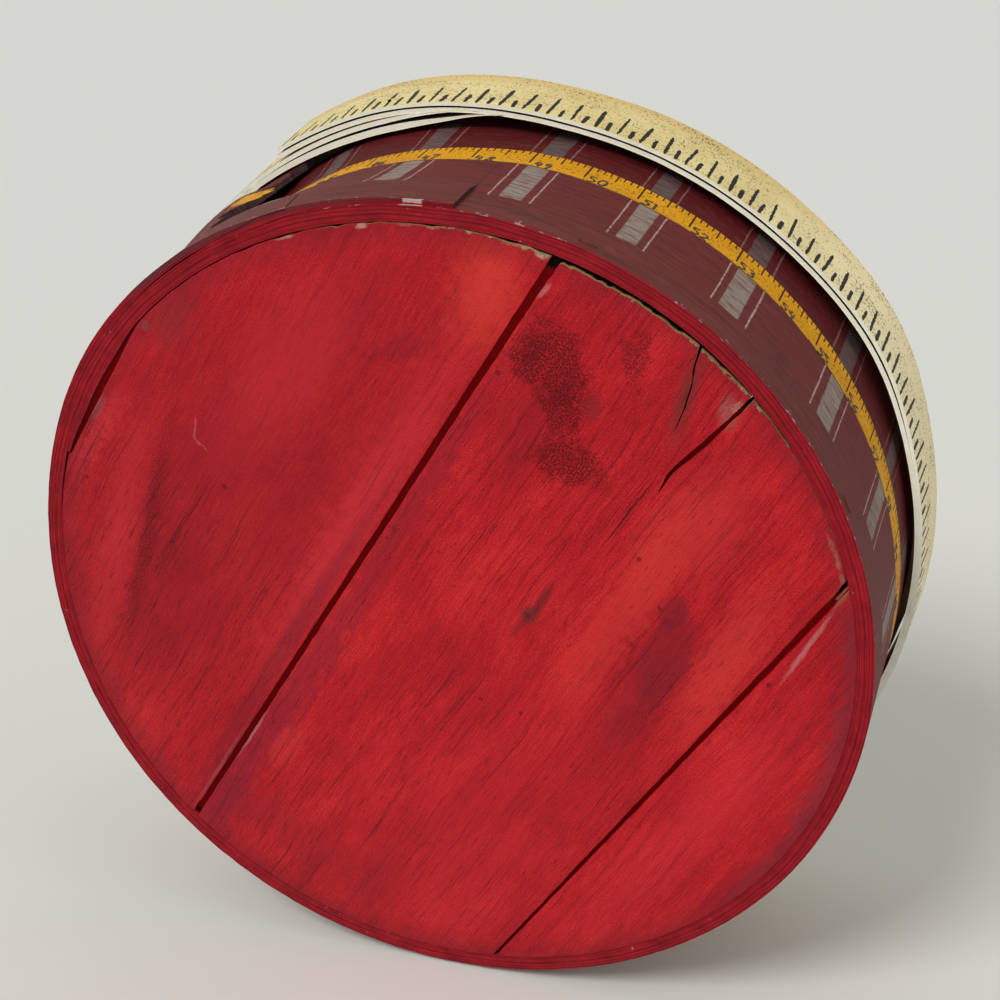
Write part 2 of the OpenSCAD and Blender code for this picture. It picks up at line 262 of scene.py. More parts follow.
# Stains, thin places, knots, scuffs and one painted glint: middle, half length along the grain, half width,
# turn, softness, colour, and cover, which is below 0 where the paint is pitted
marks = [
    (-118, 12, 140, 58, 5, 0.9, "#86111D", 0.5), (72, 96, 70, 42, 0, 0.9, "#C4222C", 0.4),
    (-60, -52, 95, 14, 0, 0.8, "#CC2830", 0.45), (-2, 158, 14, 40, 0, 0.8, "#8A1420", 0.4),
    (-21, -142, 20, 14, -42, 0.3, "#560007", -0.95), (-34, -138, 9, 7, 0, 0.45, "#560007", -0.8),
    (-7, -127, 11, 9, -30, 0.35, "#560007", -0.85), (6, -108, 9, 15, -18, 0.3, "#560007", -0.92),
    (25, -111, 5, 4.3, 0, 0.6, "#660A14", -0.6), (5, -166, 13, 5, -24, 0.4, "#640913", -0.75),
    (-20, -105, 20, 10, -10, 0.8, "#760F1A", 0.35),
    (2, -136, 6, 3.6, -30, 0.7, "#5E2020", 0.4), (31.5, -32.5, 5, 4, 0, 0.35, "#5A2A20", 0.6),
    (31.2, -32, 1.8, 1.6, 0, 0.5, "#3A1210", 0.6),
    (32.3, -42, 9, 2, -4, 0.6, "#571A1C", 0.65), (31, -24, 7, 1.6, 4, 0.6, "#6A161E", 0.5),
    (70, -122, 26, 15, -10, 0.8, "#CC3030", 0.5), (62, -92, 30, 10, -8, 0.8, "#D03630", 0.6),
    (66, -46, 34, 8, -4, 0.8, "#CE302E", 0.55), (112, -72, 34, 9, -6, 0.8, "#D23632", 0.6),
    (81.5, -76, 9, 5.5, -12, 0.25, "#7E1422", 0.62), (91, -54, 26, 10.5, -12, 0.25, "#7E1422", 0.6),
    (92, -22, 24, 11, -6, 0.7, "#861826", 0.42),
    (-37, 96, 88, 8, 1, 0.5, "#84162A", 0.55), (-25.5, 112, 15, 6.5, 0, 0.25, "#CA3230", 0.42),
    (-36, 165, 20, 10, 0, 0.6, "#821528", 0.5), (-38, -60, 70, 5, 0, 0.6, "#8A1726", 0.45),
    (48, -170, 7, 4, -30, 0.5, "#96645C", -0.75), (30.2, -166, 19, 3.6, -17, 0.85, "#54302C", 0.55),
    # The pale spot at (-41.5, -168), in the mouth of the left joint, is a painted glint.
    (50, -174, 3, 2, 0, 0.6, "#B88C80", -0.8), (-41.5, -168, 4, 1.2, 10, 0.6, "#C98A88", 0.4),
    (-62, -154, 24, 13, -20, 0.8, "#D63A2E", 0.65), (-56, -20, 75, 8, 0, 0.7, "#D6323A", 0.45),
    (-116, -70, 48, 17, 5, 0.8, "#D22E38", 0.4), (-178, 22, 26, 5, 4, 0.6, "#D83A3E", 0.4),
    (-147, 62, 55, 8, -14, 0.8, "#D03038", 0.4), (-134, 56, 58, 3.4, -15, 0.85, "#640712", -0.8),
    (-80, -105, 15, 5, 40, 0.6, "#861424", 0.45), (-52, 60, 95, 4, 0, 0.6, "#7E1628", 0.5),
    (-139.5, -13, 5.5, 0.45, -24, 0.5, "#D88078", 0.25), (-133.5, -7.4, 5, 0.4, -71, 0.5, "#D88078", 0.22),
    (135, -100, 18, 1.1, -4, 0.6, "#CF9496", 0.36),
    (150, -113, 18, 5, -37, 0.6, "#74303A", 0.45), (171, -75, 25, 5, -23, 0.6, "#78343E", 0.45),
    (183, -33, 24, 4.5, -10, 0.6, "#78343E", 0.45), (186, 12, 26, 4, 3, 0.6, "#7A323C", 0.4),
    (150, 10, 70, 12, 3, 0.8, "#D22C36", 0.35), (39.8, -106, 21, 0.45, 1, 0.4, "#3A0810", 0.8),
    (-119.2, -145.1, 1.3, 2.4, -39, 0.4, "#D8B896", 0.85),
    (-94.3, -163.3, 0.7, 3.6, -30, 0.5, "#C89A78", 0.6), (-51, -181.4, 2.2, 3.6, -15, 0.4, "#DCBE98", 0.95),
    (-62, -177.6, 0.9, 4.2, -20, 0.5, "#C89A78", 0.6), (-104, -157.2, 0.6, 3, -33, 0.5, "#C89A78", 0.5),
    (-145, -119.7, 0.8, 3.9, -50, 0.5, "#D0AC8C", 0.75),
    (-171.5, -54.6, 14, 8, 0, 0.8, "#6E2C26", 0.35), (-180.6, -43.5, 2.2, 1.6, 0, 0.5, "#6A5A50", 0.6),
    (-182.6, 9, 7, 1.6, 0, 0.7, "#8A6A66", 0.45), (-47.4, 150, 32, 0.8, 0, 0.6, "#9A6A6C", 0.25),
    (-42.6, 118, 14, 0.7, 0, 0.6, "#C08A8A", 0.4), (75.3, -74.3, 0.8, 1.6, 30, 0.5, "#6A0812", 0.75),
    (131.2, -130.5, 8, 2.4, -3, 0.5, "#8C6A50", 0.6), (128.5, -135, 1.1, 4.2, 42, 0.6, "#B08A70", 0.5),
    (114, -147.5, 0.8, 4.2, 38, 0.6, "#B08A70", 0.45), (121, -142.5, 0.9, 4, 40, 0.6, "#B8947C", 0.5),
]
rough = node(tree, "TexNoise", {"Vector": mm, "Scale": 1 / 6, "Detail": 5.0, "Roughness": 0.7})
rough = node(tree, "VectorMath", {0: rough.outputs["Color"], 1: (0.5, 0.5, 0.5)}, operation="SUBTRACT")
ragged = node(tree, "VectorMath", {0: rough, 1: (26, 34, 0), 2: mm}, operation="MULTIPLY_ADD")
neat = node(tree, "VectorMath", {0: rough, 1: (2.4, 5, 0), 2: mm}, operation="MULTIPLY_ADD")
for x, y, half_long, half_wide, turn, soft, tint, cover in marks:
    outline = ragged if half_wide > 4.2 and soft > 0.25 else neat
    spot = node(tree, "Mapping", {"Vector": outline, "Location": (x, y, 0),
                                  "Rotation": (0, 0, math.radians(turn)),
                                  "Scale": (half_wide, half_long, 1000)}, vector_type="TEXTURE")
    spot = node(tree, "VectorMath", {"Vector": spot}, operation="LENGTH")
    spot = node(tree, "MapRange", {"Value": spot, "From Min": 1 + soft, "From Max": 1 - soft,
                                   "To Max": abs(cover)}, interpolation_type="SMOOTHSTEP")
    if cover < 0:
        spot = node(tree, "Math", {0: spot, 1: pitted}, operation="MULTIPLY")
    colour = node(tree, "Mix", {"Factor": spot, "A": colour, "B": tint}, data_type="RGBA")
level = node(tree, "VectorMath", {0: mm, 1: (1, 1, 0)}, operation="MULTIPLY")
out_r = node(tree, "VectorMath", {"Vector": level}, operation="LENGTH")
crust = node(tree, "TexNoise", {"Vector": mm, "Scale": 1 / 9, "Detail": 4.0, "Roughness": 0.65})
band = node(tree, "Math", {0: crust, 1: 16.0, 2: out_r}, operation="MULTIPLY_ADD")
band = node(tree, "MapRange", {"Value": band, "From Min": 184.0, "From Max": 198.0, "To Max": 0.6})
dent = node(tree, "TexVoronoi", {"Vector": level, "Scale": 1 / 19})
chance = node(tree, "SeparateXYZ", {"Vector": dent.outputs["Color"]})
few = node(tree, "MapRange", {"Value": chance.outputs["X"], "From Min": 0.62, "To Max": 0.09})
dent = node(tree, "Math", {0: few, 1: dent.outputs["Distance"]}, operation="SUBTRACT")
dent = node(tree, "MapRange", {"Value": dent, "From Min": 0.0, "From Max": 0.015, "To Max": 0.7})
# Paint has broken off the arris, most on the side where the middle board has slipped
lean = node(tree, "VectorMath", {0: mm, 1: (-0.0037, -0.1057, 0)}, operation="DOT_PRODUCT")
lean = node(tree, "Math", {0: lean.outputs["Value"], 1: out_r}, operation="ADD")
flake = node(tree, "TexNoise", {"Vector": mm, "Scale": 1 / 4.5, "Detail": 5.0, "Roughness": 0.72})
bare = node(tree, "Math", {0: flake, 1: 10.0, 2: lean}, operation="MULTIPLY_ADD")
bare = node(tree, "MapRange", {"Value": bare, "From Min": 211.6, "From Max": 212.4, "To Max": 0.85})
pale = node(tree, "Mix", {"Factor": layers["bristle"], "A": "#6E4630", "B": "#C8A680"}, data_type="RGBA")
for cover, tint in ((band, "#7C1422"), (fleck, "#62060F"), (dent, "#6A0812"), (bare, pale)):
    colour = node(tree, "Mix", {"Factor": cover, "A": colour, "B": tint}, data_type="RGBA")
relief = node(tree, "Math", {0: fleck, 1: -0.6, 2: depth}, operation="MULTIPLY_ADD")
relief = node(tree, "Math", {0: bare, 1: -1.5, 2: relief}, operation="MULTIPLY_ADD")
bump = node(tree, "Bump", {"Height": relief, "Strength": 0.9, "Distance": 0.5 * MM})
gloss = node(tree, "MapRange", {"Value": layers["streak"], "From Min": 0.3, "From Max": 0.7,
                                "To Min": 0.42, "To Max": 0.6})
set_inputs(tree, tree.nodes["Principled BSDF"],
           {"Base Color": colour, "Roughness": gloss, "Specular IOR Level": 0.15, "Normal": bump})

# Bare pine, brown with age inside the box, and dark red with sunken paint where it shows in the joints.
# In the gap that the middle board has slipped from, its edge crumbles olive near the face, and behind that it
# is painted black as painted shade in the gap.
bare_pine, tree, mm = start_material("bare_aged_pine")
rings = node(tree, "Mapping", {"Vector": mm, "Scale": (1 / 5, 1 / 150, 1 / 5)})
rings = node(tree, "TexNoise", {"Vector": rings, "Scale": 1.0, "Detail": 5.0, "Roughness": 0.6})
rings = node(tree, "MapRange", {"Value": rings, "From Min": 0.35, "From Max": 0.65})
wood = node(tree, "Mix", {"Factor": rings, "A": "#8A5F38", "B": "#C79B66"}, data_type="RGBA")
parts = node(tree, "SeparateXYZ", {"Vector": mm})
sunk = node(tree, "MapRange", {"Value": parts.outputs["Z"], "From Min": 11.5, "From Max": 9.5})
level = node(tree, "VectorMath", {0: mm, 1: (1, 1, 0)}, operation="MULTIPLY")
out_r = node(tree, "VectorMath", {"Vector": level}, operation="LENGTH")
crumbled_edge_and_painted_shade = node(tree, "TexNoise", {"Vector": mm, "Scale": 1 / 3, "Detail": 3.0, "Roughness": 0.7})
crumbled_edge_and_painted_shade = node(tree, "Math", {0: crumbled_edge_and_painted_shade, 1: 5.0, 2: parts.outputs["Z"]}, operation="MULTIPLY_ADD")
crumbled_edge_and_painted_shade = node(tree, "MapRange", {"Value": crumbled_edge_and_painted_shade, "From Min": 3.7, "From Max": 5.6})
# Olive crumbled wood near the face, then near black deeper down as painted shade in the gap
crumbled_edge_and_painted_shade = node(tree, "Mix", {"Factor": crumbled_edge_and_painted_shade, "A": "#A48C58", "B": "#140405"}, data_type="RGBA")
outer_edge = node(tree, "MapRange", {"Value": out_r, "From Min": 181.0, "From Max": 183.0})
gap_side = node(tree, "MapRange", {"Value": parts.outputs["Y"], "From Min": -110.0, "From Max": -140.0})
outer_edge = node(tree, "Math", {0: outer_edge, 1: gap_side}, operation="MULTIPLY")
for cover, tint in ((sunk, "#960508"), (outer_edge, crumbled_edge_and_painted_shade)):
    wood = node(tree, "Mix", {"Factor": cover, "A": wood, "B": tint}, data_type="RGBA")
bump = node(tree, "Bump", {"Height": rings, "Strength": 0.3, "Distance": 0.3 * MM})
set_inputs(tree, tree.nodes["Principled BSDF"],
           {"Base Color": wood, "Roughness": 0.75, "Specular IOR Level": 0.1, "Normal": bump})

left = round_board(disc_r, (0, 0), [((left_flat, 0), (-1, 0)), ((left_joint[0], 0), (1, 0))], 0, board_t,
                   chips=[(-49, -182, 7, 1.8), (-46.9, 178, 5, 1.5), (-95, -163, 4, 1.2),
                          (-128, -139, 5, 1.0), (-47, -150, 4, 0.8)] + edge_nicks(-148, -106, 22), seed=1.0)
add_piece("red_board_left", left, [red_paint, bare_pine], "box", ["bottom_board_left"])
taper_side = (math.cos(taper_slant), math.sin(taper_slant))
middle = round_board(disc_r - middle_slip, (0, middle_slip),
                     [((left_joint[1], 0), (-1, 0)), ((right_joint[0], 0), taper_side)], 0, board_t,
                     chips=[(129, -136, 5, 1.2), (10, -185, 9, 0.4), (-20, -184, 8, 0.4), (70, -172, 6, 0.8),
                            (-43.7, -178, 5, 1.2), (110, -150, 6, 0.4), (-30, -186, 80, 2.2)]
                     + edge_nicks(-98, -72, 12),
                     splits=[([(52.3, -177.6), (50.4, -167.7), (48.1, -152.0), (44.5, -135.8), (43.8, -129.9),
                               (44.5, -123.7), (45.1, -118.7)], [0.9, 0.85, 1.3, 1.05, 0.65, 0.35, 0.0]),
                             ([(23.6, -183.5), (25.8, -178.3), (29.4, -170.9), (32.4, -161.4), (34.2, -152.7),
                               (35.5, -144.9)], [0.7, 0.45, 0.35, 0.3, 0.2, 0.0])], seed=2.0)
add_piece("red_board_middle", middle, [red_paint, bare_pine], "box", ["bottom_board_middle"])
joint_side = (-math.cos(right_slant), -math.sin(right_slant))
right = round_board(disc_r, (0, 0), [((right_joint[1], 0), joint_side)], 0, board_t,
                    chips=[(133, -133, 5, 1.2), (160, -100, 4, 0.5), (116, 149, 4, 0.8)], seed=3.0)
add_piece("red_board_right", right, [red_paint, bare_pine], "box", ["bottom_board_right"])
# Small blocks of wood: the tongues that close the joints, a splinter in the right joint's mouth, the packing
# behind the left board's straight edge, and the wood that still holds together at the bottom of the splits
block_t = 4
for name, x, y, z, turn, wide, long in (
        ("left_joint_tongue", -44.8, 0, 6, 0, 4, 366), ("right_joint_tongue", 124.4, 7, 6, 2.7, 4.5, 272),
        ("right_joint_splinter", 131.7, -131, 3.9, 3, 1.2, 10),
        ("left_flat_packing", -186.9, 0, 5.5, 0, 4.4, 78),
        ("long_split_bottom", 48.2, -148, 6, 7, 9, 56), ("short_split_bottom", 29.8, -163, 6, -17, 5, 36)):
    bm = bmesh.new()
    bmesh.ops.create_cube(bm, size=1.0)
    bmesh.ops.scale(bm, vec=(wide, long, block_t), verts=bm.verts)
    bmesh.ops.rotate(bm, matrix=Matrix.Rotation(math.radians(turn), 3, "Z"), verts=bm.verts)
    bmesh.ops.translate(bm, vec=(x, y, z), verts=bm.verts)
    add_piece(name, bm, [red_paint if z < 5 else bare_pine], "box")


# Hoop of the box.
# Two thin plies of veneer wood, bent round the bottom and lapped on each other, then stapled to the boards.
# Painted burgundy outside with grey plaid and an ochre tape measure, red over the lower edge; bare inside.
hoop_h = 136.5
hoop_ply = 3.5
glue_gap = 0.15
skived_edge = 0.1
hoop_step = hoop_ply + glue_gap
inner_r = 189.35
second_r = inner_r + hoop_step
third_r = second_r + hoop_step
raised_r = third_r + hoop_ply
inner_first, inner_last = 168.0, 602.5
outer_first = -135.5
outer_skive = -153.5
climb_first, climb_last = 150.0, 190.0
rise_first, rise_last = 564.5, 584.5
lap_dent = 4.6
tape_low, tape_high = 68.0, 86.7


def on_round(r, angle, z):
    """The point at a radius, an angle in degrees and a height."""
    a = math.radians(angle)
    return Vector((r * math.cos(a), r * math.sin(a), z))


def sway(angle, z):
    """How far the hoop stands out of a true round, in mm: its lap has been pushed in above the bottom."""
    a = math.radians(angle)
    turn = angle % 360
    dent = lap_dent * ease(turn, 246, 216) * ease(turn, 175, 200)
    dent *= ease(z, 22, 67) * (1 - 0.75 * ease(z, 85, 115))
    return 0.22 * ripple(1.6 * math.cos(a), 1.6 * math.sin(a), 5.0 + z / 160, 2) - dent


def inner_ply_face(angle):
    """Inner face of the inner ply, which climbs over its own beginning and then over the outer ply's end."""
    climbed = ease(angle - 360, climb_first, climb_last) + ease(angle, rise_first, rise_last)
    return inner_r + hoop_step * climbed


def inner_ply_back(angle, z):
    """Outer face of the inner ply, skived at its beginning and to a tip that is thicker near the bottom."""
    if angle < climb_last:
        return min(inner_r + hoop_ply, inner_ply_face(angle + 360) - glue_gap)
    tip = third_r - 0.1 + 1.9 * ease(z, 36, 22)
    sunk, last_sunk = (1 - math.cos(math.radians(end - rise_first)) for end in (angle, inner_last))
    skived = raised_r - (raised_r - tip) * sunk / last_sunk if angle > rise_first else raised_r
    return min(inner_ply_face(angle) + hoop_ply, skived)


def outer_ply_face(angle, z):
    """Inner face of the outer ply, whose torn end has sprung out and curled back in."""
    loose = ease(z, 38, 78) * (1 - 0.9 * ease(z, 88, 104))
    curl = 4.0 * ease(angle, 182, 200) - 6.0 * ease(angle, 200, 208.5)
    held = 0.5 * ease(angle, 190, 204)
    return second_r + hoop_step * ease(angle, climb_first, climb_last) + loose * curl + (1 - loose) * held


# The torn end's outline: heights, and the angle that the ply reaches at each
torn_end = [(0, 221.0), (24, 220.0), (31, 212.0), (36, 204.0), (45, 202.4), (52, 203.6), (57, 201.8),
            (62, 203.4), (66, 204.6), (70, 205.2), (74, 207.0), (77, 206.0), (80, 207.6), (83, 206.4),
            (86, 207.0), (88, 205.4), (92, 206.2), (97, 208.0), (101, 207.2), (105, 210.0), (110, 209.0),
            (114, 210.2), (120, 206.0), (128, 204.0), (137, 202.0)]


def outer_last(z):
    """Angle at which the torn outer ply ends at a height."""
    for (low, a), (high, b) in zip(torn_end, torn_end[1:]):
        if z <= high:
            frayed = 0.9 * ripple(z / 3.1, 0.4, 7.0, 4) if z > 36 else 0
            return a + (b - a) * (z - low) / (high - low) + frayed
    return torn_end[-1][1]


def bent_ply(columns, rows, bend, edge):
    """A flat strip with the slots outside 0, inside 1, lower edge 2 and torn ends 3, bent to its place."""
    bm = bmesh.new()
    bmesh.ops.create_grid(bm, x_segments=columns, y_segments=rows, size=0.5)
    bmesh.ops.translate(bm, vec=(0.5, 0.5, 0), verts=bm.verts)
    thicken(bm, 1)
    for f in bm.faces:
        n = f.normal
        f.material_index = 0 if n.z > 0.5 else 1 if n.z < -0.5 or n.y > 0.5 else 2 if n.y < -0.5 else 3
    rims = [e for e in bm.edges if e.calc_face_angle(0) > 1]
    for v in bm.verts:
        v.co = bend(*v.co)
    bmesh.ops.bevel(bm, geom=rims, offset=edge, segments=2, profile=0.5, affect="EDGES", material=-1,
                    clamp_overlap=True)
    bmesh.ops.recalc_face_normals(bm, faces=bm.faces)
    return bm


def bend_inner(along, up, through):
    """Where a point of the inner ply's strip comes to lie."""
    angle = inner_first + (inner_last - inner_first) * along
    z = hoop_h * up
    face = inner_ply_face(angle) - 0.12 * ease(angle, rise_last, rise_last + 12)
    # Its beginning swells inwards at the bottom, behind the left board's straight edge
    if angle < 200:
        face -= 1.6 * ease(angle, inner_first, inner_first + 8) * ease(angle, 193, 185) * ease(z, 34, 16)
    r = face + (inner_ply_back(angle, z) - face) * through + sway(angle, z)
    if up == 0:
        z = 0.35 + 0.3 * ripple(angle / 3, 1.0, 2.0) + 1.5 * ease(angle, rise_first, rise_first + 34)
    return on_round(r, angle, z)


def bend_outer(along, up, through):
    """Where a point of the outer ply's strip comes to lie."""
    z = hoop_h * up
    angle = outer_skive + (outer_last(z) - outer_skive) * along
    under_tip = inner_ply_face(angle + 720) - second_r - skived_edge
    thick = min(hoop_ply, under_tip) if angle < outer_first else hoop_ply
    face = outer_ply_face(angle, z)
    back = face + max(skived_edge, thick)
    whole = ease(z, 38, 30)
    if angle > 195:
        face = max(face, inner_ply_back(angle + 360, z) + glue_gap)
        thinned = max(face + skived_edge, raised_r + 0.2 - 0.8 * ease(angle, 205, 221))
        back += (thinned - back) * whole
    r = face + (back - face) * through + sway(angle, z) * (1.0 if angle < 165 else whole)
    if up == 0:
        z = 0.3 + 0.3 * ripple(angle / 3, 2.0, 3.0)
    return on_round(r, angle, z)


def turn_of(tree, parts):
    """The angle in degrees round the axis, from a point's separate x, y and z."""
    turn = node(tree, "Math", {0: parts.outputs["Y"], 1: parts.outputs["X"]}, operation="ARCTAN2")
    return node(tree, "Math", {0: turn}, operation="DEGREES")


def unsteady(tree, mm, size, detail):
    """The unsteadiness of a hand, above and below 0, in waves of a size in mm."""
    wave = node(tree, "TexNoise", {"Vector": mm, "Scale": 1 / size, "Detail": detail})
    return node(tree, "Math", {0: wave, 1: 0.5}, operation="SUBTRACT")


# Thin oil paint brushed round the hoop: dull burgundy that is redder above the tape and greyer towards the
# bottom, with the wood's grain lines in it. The plaid is dry-brushed grey, and the tape ochre with ink ticks.
hoop_paint, tree, mm = start_material("burgundy_oil_paint_with_plaid_and_tape")
parts = node(tree, "SeparateXYZ", {"Vector": mm})
turn = turn_of(tree, parts)
height = parts.outputs["Z"]
brush = node(tree, "Mapping", {"Vector": mm, "Scale": (1 / 40, 1 / 40, 1 / 2.2)})
brush = node(tree, "TexNoise", {"Vector": brush, "Scale": 1.0, "Detail": 4.0, "Roughness": 0.7})
grainy = node(tree, "Mapping", {"Vector": mm, "Scale": (1 / 9, 1 / 9, 1 / 1.4)})
grainy = node(tree, "TexNoise", {"Vector": grainy, "Scale": 1.0, "Detail": 3.0, "Roughness": 0.7})
cloud = node(tree, "Mapping", {"Vector": mm, "Scale": (1 / 40, 1 / 40, 1 / 16)})
cloud = node(tree, "TexNoise", {"Vector": cloud, "Scale": 1.0, "Detail": 3.0})
low_part = node(tree, "Math", {0: cloud, 1: 34.0, 2: height}, operation="MULTIPLY_ADD")
low_part = node(tree, "MapRange", {"Value": low_part, "From Min": 62.0, "From Max": 20.0})
dull = node(tree, "Mix", {"Factor": low_part, "A": "#6A2927", "B": "#6A342E"}, data_type="RGBA")
high_part = node(tree, "MapRange", {"Value": height, "From Min": 76.0, "From Max": 80.0})
lines = node(tree, "MapRange", {"Value": brush, "From Min": 0.56, "From Max": 0.36, "To Max": 0.65})
sheen = node(tree, "MapRange", {"Value": grainy, "From Min": 0.52, "From Max": 0.74, "To Max": 0.35})
# Plaid: each group is a wide block between two thin lines; the curve sets the groups where the hand put them
groups = 23
first_group = -97.5
by_hand = {-2: -129.0, -1: -112.6, 0: -97.6, 1: -82.9, 2: -64.6, 3: -49.4}
wobble = unsteady(tree, mm, 8, 2.0)
warped = node(tree, "Math", {0: wobble, 1: 0.25, 2: turn}, operation="MULTIPLY_ADD")
share = node(tree, "MapRange", {"Value": warped, "From Min": -180.0, "From Max": 180.0})
count = node(tree, "FloatCurve", {"Value": share})
curve = count.mapping.curves[0]
lowest, span = -8, 30
spaced = [(by_hand.get(k, first_group + 360 * k / groups), k) for k in range(lowest, 20)]
known = [(a, k) for a, k in spaced if -180 < a < 180]
for a, k in known:
    curve.points.new((a + 180) / 360, (k - lowest) / span)
before = [group for group in spaced if group[0] <= -180][-1]
after = [group for group in spaced if group[0] >= 180][0]
share_low = before[1] + (-180 - before[0]) / (known[0][0] - before[0])
share_high = known[-1][1] + (180 - known[-1][0]) / (after[0] - known[-1][0])
curve.points[0].location = (0.0, (share_low - lowest) / span)
curve.points[len(curve.points) - 1].location = (1.0, (share_high - lowest) / span)
for point in curve.points:
    point.handle_type = "VECTOR"
count.mapping.update()
group = node(tree, "Math", {0: count, 1: span}, operation="MULTIPLY")
off = node(tree, "Math", {0: group, 1: 0.5}, operation="PINGPONG")
off = node(tree, "Math", {0: off, 1: 360.0 / groups}, operation="MULTIPLY")
block = node(tree, "MapRange", {"Value": off, "From Min": 1.5, "From Max": 1.35})
thin = distance(tree, off, 2.62)
thin = node(tree, "MapRange", {"Value": thin, "From Min": 0.15, "From Max": 0.08, "To Max": 0.9})
number = node(tree, "Math", {0: group, 1: 0.5}, operation="ADD")
number = node(tree, "Math", {0: number}, operation="FLOOR")
chance = node(tree, "TexWhiteNoise", {"W": number}, noise_dimensions="1D")
foot = node(tree, "Math", {0: chance, 1: 4.0, 2: 23.5}, operation="MULTIPLY_ADD")
foot = node(tree, "Math", {0: wobble, 1: 3.0, 2: foot}, operation="MULTIPLY_ADD")
over_foot = node(tree, "Math", {0: height, 1: foot}, operation="SUBTRACT")
block_top = node(tree, "MapRange", {"Value": over_foot, "From Min": 0.0, "From Max": 0.6})
thin_top = node(tree, "MapRange", {"Value": over_foot, "From Min": -1.5, "From Max": -0.5})
block = node(tree, "Math", {0: block, 1: block_top}, operation="MULTIPLY")
thin = node(tree, "Math", {0: thin, 1: thin_top}, operation="MULTIPLY")
dry = node(tree, "MapRange", {"Value": grainy, "From Min": 0.36, "From Max": 0.54,
                              "To Min": 0.25, "To Max": 0.95})
past_tear = node(tree, "MapRange", {"Value": turn, "From Min": -160.0, "From Max": -156.0})
dry = node(tree, "Math", {0: dry, 1: past_tear}, operation="MULTIPLY")
block = node(tree, "Math", {0: block, 1: dry}, operation="MULTIPLY")
thin = node(tree, "Math", {0: thin, 1: dry}, operation="MULTIPLY")
grey = node(tree, "Mix", {"Factor": high_part, "A": "#8E8278", "B": "#5F5350"}, data_type="RGBA")
thread = node(tree, "Mix", {"Factor": high_part, "A": "#B49890", "B": "#836460"}, data_type="RGBA")
# Tape: ticks stand on its upper edge at each inch, half inch and eighth
inch = 360.0 / 49
tape_start = -92.3
edge_wob = unsteady(tree, mm, 5, 3.0)
up_tape = node(tree, "Math", {0: edge_wob, 1: 1.6, 2: height}, operation="MULTIPLY_ADD")
# On the lap the hand ran lower, and lower still at its end
lap_drift = ((-114.0, -124.0, 4.0), (-136.0, -146.0, 6.0))
on_lap = node(tree, "MapRange", {"Value": turn, "From Min": -153.0, "From Max": -151.0})
for begin, end, drop in lap_drift:
    lower = node(tree, "MapRange", {"Value": turn, "From Min": begin, "From Max": end, "To Max": drop},
                 interpolation_type="SMOOTHSTEP")
    lower = node(tree, "Math", {0: lower, 1: on_lap}, operation="MULTIPLY")
    up_tape = node(tree, "Math", {0: up_tape, 1: lower}, operation="ADD")
above_low = node(tree, "MapRange", {"Value": up_tape, "From Min": tape_low, "From Max": tape_low + 0.4})
under_high = node(tree, "MapRange", {"Value": up_tape, "From Min": tape_high + 0.4, "From Max": tape_high})
tape = node(tree, "Math", {0: above_low, 1: under_high}, operation="MULTIPLY")
# It is gone behind the torn end
worn = distance(tree, turn, -166.5)
worn = node(tree, "Math", {0: edge_wob, 1: 3.0, 2: worn}, operation="MULTIPLY_ADD")
worn = node(tree, "MapRange", {"Value": worn, "From Min": 8.0, "From Max": 9.5})
tape = node(tree, "Math", {0: tape, 1: worn}, operation="MULTIPLY")
ochre = node(tree, "Mix", {"Factor": cloud, "A": "#BC7A0C", "B": "#E9AC1C"}, data_type="RGBA")
speck = node(tree, "TexNoise", {"Vector": mm, "Scale": 1 / 1.3, "Detail": 2.0, "Roughness": 0.6})
dots = node(tree, "MapRange", {"Value": speck, "From Min": 0.56, "From Max": 0.66, "To Max": 0.75})
soil = node(tree, "MapRange", {"Value": up_tape, "From Min": tape_low + 4.0, "From Max": tape_low,
                               "To Max": 0.45})
step = node(tree, "Math", {0: turn, 1: tape_start}, operation="SUBTRACT")
ticks = 0.0
for spacing, reach, width in ((inch, 14.5, 0.12), (inch / 2, 8.0, 0.1), (inch / 8, 4.0, 0.09)):
    near = node(tree, "Math", {0: step, 1: spacing / 2}, operation="PINGPONG")
    near = node(tree, "MapRange", {"Value": near, "From Min": width + 0.05, "From Max": width - 0.03})
    foot = tape_high - reach
    tall = node(tree, "MapRange", {"Value": up_tape, "From Min": foot, "From Max": foot + 0.6})
    near = node(tree, "Math", {0: near, 1: tall}, operation="MULTIPLY")
    ticks = node(tree, "Math", {0: ticks, 1: near}, operation="MAXIMUM")
lower_line = node(tree, "MapRange", {"Value": up_tape, "From Min": tape_low + 1.4, "From Max": tape_low + 0.8,
                                     "To Max": 0.9})
ticks = node(tree, "Math", {0: ticks, 1: lower_line}, operation="MAXIMUM")
for cover, tint in ((dots, "#5A3410"), (soil, "#A5703A"), (ticks, "#2E1C12")):
    ochre = node(tree, "Mix", {"Factor": cover, "A": ochre, "B": tint}, data_type="RGBA")
# Red from the bottom runs over the lower edge, and the paint is rubbed off along it in places
lap_height = node(tree, "Math", {0: edge_wob, 1: 5.0, 2: height}, operation="MULTIPLY_ADD")
lap_red = node(tree, "MapRange", {"Value": lap_height, "From Min": 2.6, "From Max": 1.4, "To Max": 0.8})
rub = node(tree, "TexNoise", {"Vector": mm, "Scale": 1 / 4, "Detail": 4.0, "Roughness": 0.7})
rub = node(tree, "Math", {0: height, 1: -0.03, 2: rub}, operation="MULTIPLY_ADD")
rub = node(tree, "MapRange", {"Value": rub, "From Min": 0.53, "From Max": 0.6, "To Max": 0.75})
knock_turn = -122.6
knock = distance(tree, turn, knock_turn)
knock = node(tree, "Math", {0: edge_wob, 1: 2.0, 2: knock}, operation="MULTIPLY_ADD")
knock = node(tree, "MapRange", {"Value": knock, "From Min": 1.4, "From Max": 1.1})
